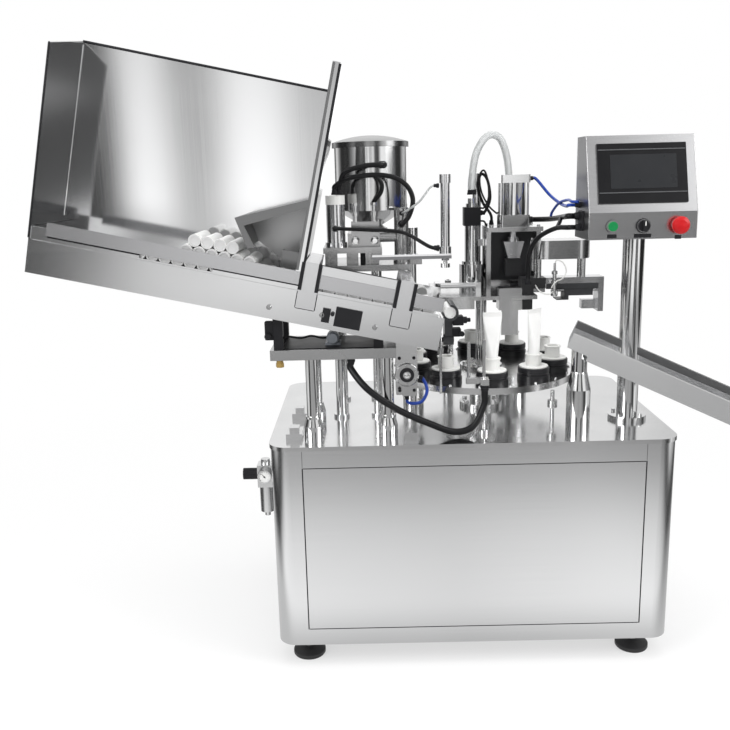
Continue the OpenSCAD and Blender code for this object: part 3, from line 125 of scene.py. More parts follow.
class Finish:  # one material and the nodes that make it
    def __init__(self, name, tree=None):
        if tree is None:
            self.material = bpy.data.materials.new(name)
            self.material.use_nodes = True
            tree = self.material.node_tree
        self.tree = tree
        tree.nodes.clear()

    def add(self, kind, settings=None, out=0, **sockets):  # i0, i1 and so on are sockets by number
        n = self.tree.nodes.new("ShaderNode" + kind)
        for k, v in (settings or {}).items():
            setattr(n, k, v)
        for k, v in sockets.items():
            numbered = k[0] == "i" and k[1:].isdigit()
            feed(self.tree, n.inputs[int(k[1:])] if numbered else n.inputs[k.replace("_", " ")], v)
        return Sock(self.tree, n.outputs[out])

    def axis(self, k):  # place on the object along one axis
        return self.add("SeparateXYZ", out=k, Vector=self.add("TexCoord", out=3))

    def noise(self, scale, stretch=(1, 1, 1), detail=3, rough=0.5):
        place = self.add("Mapping", Vector=self.add("TexCoord", out=3), Scale=stretch)
        return self.add("TexNoise", Vector=place, Scale=scale, Detail=detail, Roughness=rough)

    def ramp(self, fac, stops):  # each stop is a place with a colour or a grey
        n = self.tree.nodes.new("ShaderNodeValToRGB")
        feed(self.tree, n.inputs[0], fac)
        marks = n.color_ramp.elements
        while len(marks) < len(stops):
            marks.new(0.5)
        for e, (place, c) in zip(marks, stops):
            e.position = place
            e.color = (*c, 1) if isinstance(c, tuple) else (c, c, c, 1)
        return Sock(self.tree, n.outputs[0])

    def mix(self, fac, a, b):
        return self.add("Mix", {"data_type": "RGBA"}, out=2, i0=fac, i6=a, i7=b)

    def times(self, a, b):
        return self.add("Mix", {"data_type": "RGBA", "blend_type": "MULTIPLY"}, out=2, i0=1.0, i6=a, i7=b)

    def bump(self, height, strength, distance=0.001):
        return self.add("Bump", Height=height, Strength=strength, Distance=distance)

    def done(self, shader):
        o = self.tree.nodes.new("ShaderNodeOutputMaterial")
        self.tree.links.new(shader.link, o.inputs[0])
        return self.material

    def principled(self, **sockets):
        return self.done(self.add("BsdfPrincipled", **sockets))


def shade(colour, k, lift=0.0):
    return tuple(min(1, c * k + lift) for c in colour)


def tinted(tone, *tint):
    return tuple(tone * k for k in tint)


def brushedSteel(name, along, tone, rough, grain=0.02):  # sheet with a fine drawn grain
    f = Finish(name)
    lines = f.noise(1.0, {"x": (2.0, 500, 1100), "z": (900, 900, 2.0)}[along], detail=4, rough=0.6)
    cloud = f.noise(3.0)
    stops = ((0.25, tinted(tone, 0.94, 0.945, 0.955)), (0.75, tinted(tone, 1.04, 1.042, 1.045)))
    return f.principled(Base_Color=f.ramp(lines * 0.6 + cloud * 0.4, stops), Metallic=1.0,
                        Roughness=lines * 0.07 + cloud * 0.06 + (rough - 0.06), Normal=f.bump(lines, grain))


def polishedSteel(name, tone=0.78, rough=0.09):  # bright turned bar and spun sheet
    f = Finish(name)
    rings = f.noise(1.0, (6, 6, 900))
    smear = f.noise(14.0, (1, 1, 0.4), detail=4)
    stops = ((0.3, tinted(tone, 0.95, 0.955, 0.96)), (0.7, tinted(tone, 1, 1, 1)))
    return f.principled(Base_Color=f.ramp(smear, stops), Metallic=1.0,
                        Roughness=smear * 0.08 + rings * 0.04 + (rough - 0.05),
                        Normal=f.bump(rings, strength=0.008))


def machinedPlate(name, tone, rough):  # milled plate with faint tool marks
    f = Finish(name)
    marks = f.noise(1.0, (420, 60, 200))
    cloud = f.noise(9.0)
    stops = ((0.3, tinted(tone, 0.93, 0.935, 0.94)), (0.7, tinted(tone, 1.04, 1.04, 1.04)))
    return f.principled(Base_Color=f.ramp(marks * 0.5 + cloud * 0.5, stops), Metallic=1.0,
                        Roughness=cloud * 0.14 + (rough - 0.07), Normal=f.bump(marks, strength=0.03))


def mouldedPlastic(name, colour, rough, grain=0.06, coat=0.0, shine=0.5):  # fine moulded skin
    f = Finish(name)
    skin = f.noise(900.0, detail=2)
    wear = f.noise(28.0, detail=4)
    return f.principled(Base_Color=f.mix(wear, shade(colour, 0.88), shade(colour, 1.08, 0.004)),
                        Roughness=wear * 0.16 + (rough - 0.08), Coat_Weight=coat, Specular_IOR_Level=shine,
                        Normal=f.bump(skin, grain, distance=0.0004))


def crimpedTube(name, top, crimp=0.011):  # white laminate, ribbed across its sealed end
    f = Finish(name)
    wear = f.noise(28.0, detail=4)
    z = f.axis(2)
    ribs = f.add("Math", {"operation": "SINE"}, i0=z * 3800.0)
    sealed = z > top - crimp
    return f.principled(Base_Color=f.mix(wear, (0.78, 0.78, 0.77), (0.86, 0.86, 0.85)),
                        Roughness=wear * 0.12 + 0.24,
                        Normal=f.bump(ribs * sealed, strength=0.5, distance=0.0006))


def tubeWithShadedEnds(name):  # white tube with painted shade on its closed end, which faces the front
    f = Finish(name)
    wear = f.noise(28.0, detail=4)
    facing = f.add("SeparateXYZ", out=1, Vector=f.add("NewGeometry", out=1)) < -0.9
    body = f.mix(wear, (0.74, 0.74, 0.73), (0.82, 0.82, 0.81))
    # the front-facing closed ends are darker: painted shade
    end = f.mix(wear, (0.50, 0.50, 0.50), (0.57, 0.57, 0.57))
    return f.principled(Base_Color=f.mix(facing, body, end), Roughness=wear * 0.12 + 0.24)


def paintedMetal(name, colour, rough=0.38):  # thin paint with a slight peel
    f = Finish(name)
    peel = f.noise(320.0, detail=2)
    wear = f.noise(40.0, detail=5)
    return f.principled(Base_Color=f.mix(wear, shade(colour, 0.85), shade(colour, 1.1)),
                        Roughness=wear * 0.2 + (rough - 0.1),
                        Normal=f.bump(peel, strength=0.10, distance=0.0006))


def twoTone(name, axisIndex, cut, low, high, grainWay=(60, 60, 600)):  # two finishes, split at a plane
    f = Finish(name)
    above = f.axis(axisIndex) > cut
    grain = f.noise(1.0, grainWay)
    lowColour, lowRough, lowMetal = low
    highColour, highRough, highMetal = high
    under = f.mix(grain, shade(lowColour, 0.9), shade(lowColour, 1.08))
    over = f.mix(grain, shade(highColour, 0.93), shade(highColour, 1.04))
    return f.principled(Base_Color=f.mix(above, under, over),
                        Roughness=above * (highRough - lowRough) + grain * 0.1 + (lowRough - 0.05),
                        Metallic=above * (highMetal - lowMetal) + lowMetal,
                        Normal=f.bump(grain, strength=0.03))


def clearVinyl(name):  # hazy clear hose
    f = Finish(name)
    haze = f.noise(40.0)
    return f.principled(Base_Color=f.mix(haze, (0.66, 0.68, 0.68), (0.80, 0.81, 0.81)),
                        Roughness=haze * 0.15 + 0.10, Transmission_Weight=0.5, IOR=1.42)


def screenFace(name, dark, light, rough):  # dark glass with a soft sheen
    f = Finish(name)
    haze = f.noise(18.0)
    return f.principled(Base_Color=f.mix(haze, dark, light), Roughness=haze * 0.10 + rough,
                        Specular_IOR_Level=0.22)


sheetX = brushedSteel("sheet steel drawn along", "x", tone=0.72, rough=0.18)
panelSteel = brushedSteel("panel steel", "x", tone=0.70, rough=0.20)
binSteel = brushedSteel("bin sheet", "z", tone=0.76, rough=0.085, grain=0.006)
chuteSteel = brushedSteel("chute sheet", "x", tone=0.84, rough=0.22)
webSteelShaded = brushedSteel("web sheet in painted shade", "x", tone=0.50, rough=0.34)
dullSteel = brushedSteel("dull sheet", "x", tone=0.24, rough=0.30)
bright = polishedSteel("polished bar")
spun = polishedSteel("spun steel", tone=0.64, rough=0.11)
coverSteel = polishedSteel("cover sheet", tone=0.62, rough=0.18)
lidSteel = polishedSteel("lid sheet", tone=0.32, rough=0.22)
plate = machinedPlate("machined plate", tone=0.68, rough=0.20)
framePlate = machinedPlate("frame plate", tone=0.46, rough=0.26)
deck = machinedPlate("table plate", tone=0.72, rough=0.14)
disc = machinedPlate("turntable plate", tone=0.78, rough=0.17)
cupBlack = mouldedPlastic("black cup", (0.016, 0.016, 0.018), rough=0.30, shine=0.42)
trimBlack = mouldedPlastic("black fitting", (0.014, 0.014, 0.016), rough=0.42, shine=0.16)
insertWhite = mouldedPlastic("white insert", (0.80, 0.80, 0.78), rough=0.38)
tubeWhite = mouldedPlastic("white tube", (0.78, 0.78, 0.77), rough=0.30, grain=0.02)
tubeStock = tubeWithShadedEnds("white tubes in stock")
tubeSealed = crimpedTube("sealed tube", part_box("tubes_on_table")[1].z)
blackSteel = paintedMetal("blackened steel", (0.028, 0.029, 0.032))
castGrey = paintedMetal("cast housing", (0.24, 0.26, 0.29))
ridgeGrey = paintedMetal("screen ridge", (0.085, 0.088, 0.092))
motorBlue = paintedMetal("motor enamel", (0.10, 0.17, 0.27))
rubberBlack = mouldedPlastic("rubber", (0.018, 0.018, 0.018), rough=0.6, grain=0.12)
greenLens = mouldedPlastic("green button", (0.006, 0.20, 0.055), rough=0.28, grain=0.02, coat=0.1, shine=0.3)
redCap = mouldedPlastic("red button", (0.46, 0.006, 0.009), rough=0.32, grain=0.02, coat=0.08, shine=0.22)
hoseBlack = mouldedPlastic("black hose", (0.008, 0.008, 0.009), rough=0.34, shine=0.22)
hoseBlue = mouldedPlastic("blue hose", (0.010, 0.045, 0.30), rough=0.3, grain=0.02, shine=0.3)
hoseClear = clearVinyl("clear hose")
brass = paintedMetal("brass fitting", (0.32, 0.21, 0.06), rough=0.32)
glassDark = screenFace("screen glass", (0.006, 0.006, 0.007), (0.011, 0.011, 0.012), rough=0.20)
displayGrey = screenFace("screen display", (0.016, 0.017, 0.019), (0.022, 0.023, 0.025), rough=0.24)
dialWhite = mouldedPlastic("dial face", (0.80, 0.80, 0.79), rough=0.35, grain=0.02)

splitAt = {  # where the two-tone finishes change, in metres
    "pump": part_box("dosing_pump")[1].z - 0.0221, "press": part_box("press_head")[0].z + 0.049, "foot": 0.0231,
    "guard": spot(0, -290.2, 0).y, "box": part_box("hmi_box")[0].x + 0.0005, "arm": 0.9805,
    "trim": spot(232, 0, 0).x,
}
sheetGrain = (3, 500, 1100)
pumpTone = twoTone("pump with white cap", 2, splitAt["pump"],
                   ((0.74, 0.74, 0.75), 0.14, 1.0), ((0.82, 0.82, 0.80), 0.35, 0.0))
pressTone = twoTone("press head with black block", 2, splitAt["press"],
                    ((0.022, 0.022, 0.024), 0.4, 0.0), ((0.62, 0.62, 0.63), 0.25, 1.0))
footTone = twoTone("foot pad and stem", 2, splitAt["foot"],
                   ((0.018, 0.018, 0.019), 0.5, 0.0), ((0.6, 0.6, 0.61), 0.25, 1.0))
guardTone = twoTone("guard rail and straps", 1, splitAt["guard"],
                    ((0.72, 0.72, 0.73), 0.24, 1.0), ((0.58, 0.58, 0.59), 0.24, 1.0), sheetGrain)
# the control box's left side face gets the darker, rougher sheet: its darker tone is painted shade
boxShadedSide = twoTone("control box sheet with painted shade on its side", 0, splitAt["box"],
                  ((0.30, 0.30, 0.31), 0.30, 1.0), ((0.74, 0.74, 0.75), 0.22, 1.0), sheetGrain)
armTone = twoTone("arm and cylinder", 2, splitAt["arm"],
                  ((0.30, 0.30, 0.31), 0.30, 1.0), ((0.76, 0.76, 0.77), 0.12, 1.0))
trimTone = twoTone("trimming frame with black head", 0, splitAt["trim"],
                   ((0.02, 0.02, 0.022), 0.4, 0.0), ((0.66, 0.66, 0.67), 0.2, 1.0))

finishOf = {
    "cabinet_shell": sheetX, "table_plate": deck, "front_panel": panelSteel, "levelling_feet": footTone,
    "support_columns": bright, "index_housing": plate, "index_gearbox": castGrey, "drive_motor": motorBlue,
    "motor_pulley": plate, "index_pulley": plate, "drive_belt": rubberBlack, "index_shaft": bright,
    "turntable": disc, "tube_cups": cupBlack, "cup_inserts": insertWhite, "tubes_on_table": tubeSealed,
    "feed_plate": framePlate, "feed_posts": trimBlack, "tube_bin": binSteel, "feed_front_plate": sheetX,
    "feed_guard": guardTone, "bin_gate": binSteel, "bin_deflector": dullSteel, "feed_fittings": trimBlack,
    "tubes_in_bin": tubeStock, "loading_actuator": plate, "tube_flipper": blackSteel,
    "push_cylinder": armTone, "push_rod": bright, "fill_frame": framePlate, "dosing_pump": pumpTone,
    "fill_valve": framePlate, "filling_hopper": spun, "hopper_lid": lidSteel, "filling_nozzle": bright,
    "station_plate": plate, "heater_unit": bright, "heater_solenoid": trimBlack, "heater_nozzle": plate,
    "press_frame": plate, "press_cylinder": bright, "press_head": pressTone, "jaw_inner": blackSteel,
    "jaw_outer": blackSteel, "trim_frame": trimTone, "trim_blade": blackSteel, "trim_cover": coverSteel,
    "discharge_chute": chuteSteel, "hmi_box": boxShadedSide, "hmi_back": sheetX, "hmi_screen": glassDark,
    "start_button": greenLens, "selector_knob": trimBlack, "estop_button": redCap, "air_regulator": plate,
    "regulator_knob": trimBlack, "table_fittings": plate, "hoses_clear": hoseClear, "hoses_blue": hoseBlue,
    "hoses_black": hoseBlack,
}
for name, finish in finishOf.items():
    mesh = parts[name].data
    mesh.materials.clear()
    mesh.materials.append(finish)
print("finishes on", len(finishOf), "nodes")


def newPiece(name, bm, finish, body="machine", corner=35):  # a finished mesh that rides on a body
    bmesh.ops.recalc_face_normals(bm, faces=bm.faces)
    mesh = bpy.data.meshes.new(name)
    bm.to_mesh(mesh)
    bm.free()
    mesh.materials.append(finish)
    mesh.shade_smooth()
    mesh.set_sharp_from_angle(angle=math.radians(corner))
    o = bpy.data.objects.new(name, mesh)
    bpy.context.scene.collection.objects.link(o)
    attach(o, body)
    return o


def circle(bm, middle, across, other, radius, sides):  # points round a middle, in metres
    turns = [2 * math.pi * k / sides for k in range(sides)]
    return [bm.verts.new(middle + (across * math.cos(a) + other * math.sin(a)) * radius) for a in turns]


def spin(bm, profile, base, way, sides=28):  # (radius, height) pairs in millimetres turned round an axis
    across = way.orthogonal().normalized()
    other = way.cross(across)
    rings = []
    for r, h in profile:
        c = base + way * (h / 1000)
        rings.append([bm.verts.new(c)] if r == 0 else circle(bm, c, across, other, r / 1000, sides))
    for a, b in zip(rings, rings[1:]):
        for i in range(sides):
            j = (i + 1) % sides
            corners = []
            for v in (a[i % len(a)], a[j % len(a)], b[j % len(b)], b[i % len(b)]):
                if v not in corners:
                    corners.append(v)
            if len(corners) > 2:
                bm.faces.new(corners)


def screw(bm, base, way, d, h):  # socket cap screw
    r = d / 2
    socket = [(0, h * 0.4), (r * 0.52, h * 0.4), (r * 0.56, h)]
    spin(bm, socket + [(r * 0.84, h), (r, h * 0.82), (r, 0), (0, 0)], base, way, sides=20)


def screwGrid(bm, node, shares, way, d, h):  # screws at shares of a node's width, depth and height
    low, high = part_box(node)
    for fx in shares[0]:
        for fy in shares[1]:
            for fz in shares[2]:
                place = [a + (b - a) * f for a, b, f in zip(low, high, (fx, fy, fz))]
                screw(bm, Vector(place), way, d, h)


def nut(bm, base, way, d, h):  # six-sided nut with a stud and washer
    r = d / 2
    spin(bm, [(0, 1.6), (r * 1.22, 1.6), (r * 1.25, 1.2), (r * 1.25, 0), (0, 0)], base, way, sides=28)
    spin(bm, [(0, h), (r * 0.84, h), (r, h * 0.86), (r, 1.5), (0, 1.5)], base, way, sides=6)
    stud = [(0, h + 3), (r * 0.40, h + 3), (r * 0.46, h + 2), (r * 0.46, h - 1), (0, h - 1)]
    spin(bm, stud, base, way, sides=18)


def slab(bm, middle, ways, size, r=3.0, edge=0.4, steps=5):  # rounded plate, front edge chamfered, mm
    ux, uy, uz = ways
    w, h, t = size

    def loop(inset, level):
        out = []
        rr = max(r - inset, 0.2)
        for k, (sx, sy) in enumerate(((1, 1), (-1, 1), (-1, -1), (1, -1))):
            cx, cy = sx * (w / 2 - inset - rr), sy * (h / 2 - inset - rr)
            for i in range(steps + 1):
                a = math.pi / 2 * (k + i / steps)
                step = ux * (cx + rr * math.cos(a)) + uy * (cy + rr * math.sin(a)) + uz * level
                out.append(bm.verts.new(middle + step / 1000))
        return out

    loops = [loop(0, 0), loop(0, t - edge), loop(edge, t)]
    for a, b in zip(loops, loops[1:]):
        for i in range(len(a)):
            bm.faces.new((a[i], a[(i + 1) % len(a)], b[(i + 1) % len(a)], b[i]))
    bm.faces.new(loops[0])
    bm.faces.new(loops[-1])


def route(points, steps=10):  # the same soft curve through the points as the solid hoses
    pts = [Vector(p) for p in points]
    ends = [pts[0] * 2 - pts[1]] + pts + [pts[-1] * 2 - pts[-2]]
    out = []
    for a, b, c, d in zip(ends, ends[1:], ends[2:], ends[3:]):
        for i in range(steps):
            t = i / steps
            bend = (2 * a - 5 * b + 4 * c - d) * t * t
            out.append(0.5 * (2 * b + (c - a) * t + bend + (3 * b - a - 3 * c + d) * t ** 3))
    return [spot(*p) for p in out + [pts[-1]]]


def pipe(bm, path, d, sides=14):  # round tube along a path in metres
    across = (path[1] - path[0]).orthogonal().normalized()
    rings = []
    for i, p in enumerate(path):
        way = (path[min(i + 1, len(path) - 1)] - path[max(i - 1, 0)]).normalized()
        across = (across - way * across.dot(way)).normalized()
        rings.append(circle(bm, p, across, way.cross(across), d / 2000, sides))
    for a, b in zip(rings, rings[1:]):
        for i in range(sides):
            j = (i + 1) % sides
            bm.faces.new((a[i], a[j], b[j], b[i]))
    bm.faces.new(rings[0])
    bm.faces.new(rings[-1])


hoseSetup = {
    "clear_hoses": {"node": "hoses_clear", "finish": hoseClear, "runs": [
        (20, [(54, 208, 1112), (54, 208, 1150), (66, 210, 1222), (96, 216, 1266), (130, 222, 1262),
              (152, 232, 1215), (162, 242, 1150), (166, 248, 1085), (166, 248, 1026)]),
        (5, [(-150, -46, 1078), (-146, -62, 1080), (-110, -100, 1106), (-82, -128, 1142),
             (-64, -128, 1144)])]},
    "blue_hoses": {"node": "hoses_blue", "finish": hoseBlue, "runs": [
        (8, [(203, 174, 1152), (212, 174, 1152), (224, 172, 1149), (252, 130, 1108), (262, 40, 1088),
             (254, -60, 1086), (249, -104, 1090), (262, -104, 1090), (276.4, -104, 1090)]),
        (8, [(-124, -215, 700), (-112, -216, 698), (-102, -226, 672), (-116, -226, 644), (-146, -218, 640),
             (-150, -215, 660)])]},
    "black_hoses": {"node": "hoses_black", "finish": hoseBlack, "runs": [
        (16, [(-280, -230, 758), (-280, -230, 746), (-280, -232, 728), (-240, -262, 684), (-172, -266, 636),
              (-98, -264, 600), (-40, -260, 578), (4, -256, 590), (30, -250, 640), (31, -250, 664),
              (31, -250, 687)]),
        (12, [(-313, -40, 1126.3), (-313, -40, 1136), (-311, -42, 1148), (-276, -62, 1166),
              (-218, -66, 1172), (-170, -64, 1166), (-136, -62, 1144), (-122, -62, 1110), (-132, -66, 1072),
              (-150, -72, 1052), (-150, -60, 1052), (-150, -46, 1052)]),
        (12, [(-302, -40, 1126.3), (-302, -40, 1136), (-300, -46, 1150), (-286, -60, 1180),
              (-240, -66, 1194), (-200, -62, 1196), (-192, -48, 1196), (-192, -36, 1196)]),
        (9, [(-313, -65, 1045), (-310, -78, 1046), (-230, -92, 1042), (-150, -106, 1035), (-88, -128, 1002),
             (-64, -128, 997)]),
        (14, [(203.2, 174, 1042), (212, 174, 1042), (224, 173, 1042), (252, 110, 1046), (258, -20, 1058),
              (248, -104, 1064), (262, -104, 1064), (276.4, -104, 1064)]),
        (12, [(180, 30, 884), (180, 30, 910), (180, 24, 960), (196, 0, 1004), (228, -56, 1032),
              (247, -118, 1038), (262, -118, 1038), (276.4, -118, 1038)]),
        (8, [(78, 208, 1062), (90, 208, 1064), (106, 220, 1100), (100, 232, 1150), (84, 238, 1166),
             (74, 238, 1136), (88, 242, 1090), (112, 246, 1054), (114, 248, 1026)])]},
}
collarShape = ((3, 0), (3, 5), (1.6, 6), (1.6, 11), (0.2, 13), (-0.5, 13))  # beyond the hose's radius, height


def makeHoses(rows):
    collars = bmesh.new()
    for name, s in rows.items():
        bm = bmesh.new()
        for d, points in s["runs"]:
            path = route(points)
            pipe(bm, path, d)
            profile = [(0, 0)] + [(d / 2 + more, h) for more, h in collarShape]
            for end, later in ((path[0], path[2]), (path[-1], path[-3])):  # push-in fitting at each end
                spin(collars, profile, end, (later - end).normalized(), sides=18)
        o = newPiece(name, bm, s["finish"])
        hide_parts(s["node"])
    newPiece("hose_fittings", collars, trimBlack)


cableSetup = {
    "signal_cables": {"finish": hoseBlack, "runs": [
        (5, [(77.5, 202, 1075), (88, 202, 1077), (100, 206, 1104), (98, 212, 1150), (88, 216, 1176),
             (76, 218, 1160), (82, 218, 1118), (100, 214, 1082), (118, 190, 1062), (123, 182, 1062)]),
        (10, [(256, 5, 1055), (247, -22, 1046), (236, -46, 1035)]),
        (11, [(-216, -66, 1172), (-204, -64, 1162), (-197, -60, 1148), (-200, -52, 1130), (-212, -44, 1114),
              (-218, -40, 1106), (-218, -40, 1100)]),
        (5, [(77.5, 208, 1040), (90, 208, 1036), (98, 208, 1010), (94, 210, 960), (88.5, 214, 900),
             (84, 218, 866), (84, 220, 858)])]},
    "blue_branch": {"finish": hoseBlue, "runs": [
        (7, [(252, 110, 1053), (254, 100, 1066), (258, 40, 1090), (262, -40, 1100), (258, -98, 1098),
             (266, -112, 1098), (270, -112, 1098)])]},
}


def makeCables(rows):
    for name, s in rows.items():
        bm = bmesh.new()
        for d, points in s["runs"]:
            pipe(bm, route(points), d, sides=12)
        newPiece(name, bm, s["finish"])


makeHoses(hoseSetup)
makeCables(cableSetup)
print("hoses laid")

boxSetup = {
    "face": (402, -190, 1074), "lean": 16.6388, "middle": 90.8, "half": 124.5, "top": 1248, "bottom": 1012,
    "display": (153, 80, 0.8), "displayLift": 0.0050, "shift": (3, 3.5),
    "ridges": (55, -46), "ridge": (202, 2.2, 1.4), "ridgeLift": 0.0048,
    "labels": ((331, 1020, 22), (402, 1020, 40), (484, 1015, 15)), "labelHigh": 9, "labelDeep": 0.7,
    "collars": ((331, 11.6, 15.4), (402, 13.6, 16.8)), "buttons": 1043, "edge": 1.5,
    "inlet": (277, -120, 1054), "inletSize": (42, 46, 3),
    "screws": ((0.08, 0.92), (1,), (0.08, 0.5, 0.92)), "screw": (9, 4),
}


def makeControlBox(s):
    lean = math.radians(s["lean"])
    uy, uz = Vector((0, math.sin(lean), math.cos(lean))), Vector((0, -math.cos(lean), math.sin(lean)))
    leaning = (toRight, uy, uz)
    x, y, fold = s["face"]
    base = spot(x, y, fold) + uy * s["middle"] / 1000
    bm = bmesh.new()
    shift = (toRight * s["shift"][0] + uy * s["shift"][1]) / 1000
    slab(bm, base + shift + uz * s["displayLift"], leaning, s["display"], r=2.5)
    newPiece("screen_display", bm, displayGrey)
    bm = bmesh.new()
    for level in s["ridges"]:  # fine ridges across the frame above and below the display
        slab(bm, base + uy * level / 1000 + uz * s["ridgeLift"], leaning, s["ridge"], r=0.8, edge=0.5)
    newPiece("screen_frame", bm, ridgeGrey)
    bm = bmesh.new()
    for across, inner, outer in s["collars"]:  # black rings round the buttons
        profile = [(inner, 0), (outer, 0), (outer, 3.2), (outer - 0.9, 4.2), (inner + 0.6, 4.2), (inner, 3.6)]
        spin(bm, profile, spot(across, y, s["buttons"]), toFront, sides=36)
    newPiece("button_collars", bm, trimBlack)
    bm = bmesh.new()
    rise = (s["top"] - fold) * math.tan(lean)
    for side in (-s["half"], s["half"]):  # folded edges that catch the light
        foot, bend = spot(x + side, y, s["bottom"] + 1), spot(x + side, y, fold)
        pipe(bm, [foot, bend, spot(x + side, y + rise, s["top"] - 1)], s["edge"], sides=10)
    newPiece("box_edges", bm, framePlate)
    bm = bmesh.new()
    for across, z, wide in s["labels"]:
        slab(bm, spot(across, y, z), upright, (wide, s["labelHigh"], s["labelDeep"]), r=1.0, edge=0.2)
    newPiece("blank_labels", bm, trimBlack)
    bm = bmesh.new()
    slab(bm, spot(*s["inlet"]), (toBack, toTop, toLeft), s["inletSize"], r=3, edge=1.0)
    newPiece("cable_inlet", bm, trimBlack)
    bm = bmesh.new()
    screwGrid(bm, "hmi_back", s["screws"], toBack, *s["screw"])
    newPiece("back_cover_screws", bm, bright)


markSetup = {"drop": 0.007, "size": (2, 10, 0.4), "round": 0.6, "edge": 0.1}


def makeSelectorMark(s):
    low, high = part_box("selector_knob")
    bm = bmesh.new()
    place = Vector(((low.x + high.x) / 2, low.y, high.z - s["drop"]))
    slab(bm, place, upright, s["size"], s["round"], s["edge"])
    newPiece("selector_mark", bm, insertWhite, "selector_body")


makeControlBox(boxSetup)
makeSelectorMark(markSetup)
print("control box dressed")

feedSetup = {
    "origin": (-82.11, 0, 780), "tilt": 12.4, "front": -290, "back": -82, "length": 939, "top": 524,
    "drop": 32, "gate": 333, "rail": 118, "gateTop": 569, "gateShadeEdge": 2.5, "darkStripEdge": -11, "edgeWide": 6,
    "bolts": ((-150, 26), (-272, 31), (-392, 26)), "bolt": (12, 5),
    "hem": 4.5, "bend": 3.2, "frontEdge": 5.0, "backEdge": 7.0,
    "straps": (-313, -97), "strapShadow": (47, 41, 0.8), "strapShadowAt": 55.5,
    "railGapShadows": ((-901, -694), (-530, -334)), "railGapShadowPlace": (-284.1, 79.5, 19, 0.8),
    "lips": ((-936, -900, 104), (-900, -694, 84), (-694, -530, 79), (-530, -334, 84.5), (-298, -112, 82),
             (-82, -14, 81)), "lipAt": -284.95, "lipFoot": 70, "lipDeep": 1.1,
    "cover": (-298, -112, 104, 139), "coverAt": -284.6, "coverDeep": 1.3,
    "layer": (-934, -612), "layerAt": (-184.5, 103.2), "layerSize": (199, 1.2),
    "liner": (-329, -62), "linerPlace": (-126.8, 96, 37, 1.2),
    "rearEnds": -150, "pitch": 28.6, "first": -38, "low": 89.3, "rise": 24.77,
    "layers": ((0, 30, 0), (14.5, 6, 4), (16, 4, 9)),  # first place, number of tubes, how far back
    "bung": [(0, 0), (12.6, 0), (12.8, 0.4), (12.8, 5.4), (12, 6.2), (0, 6.2)], "bungDeep": 6,
    "web": ((0, 162), (-160, 87), (-127, 30), (-60, -6), (0, -6)), "webFaces": (-96, -93),
}


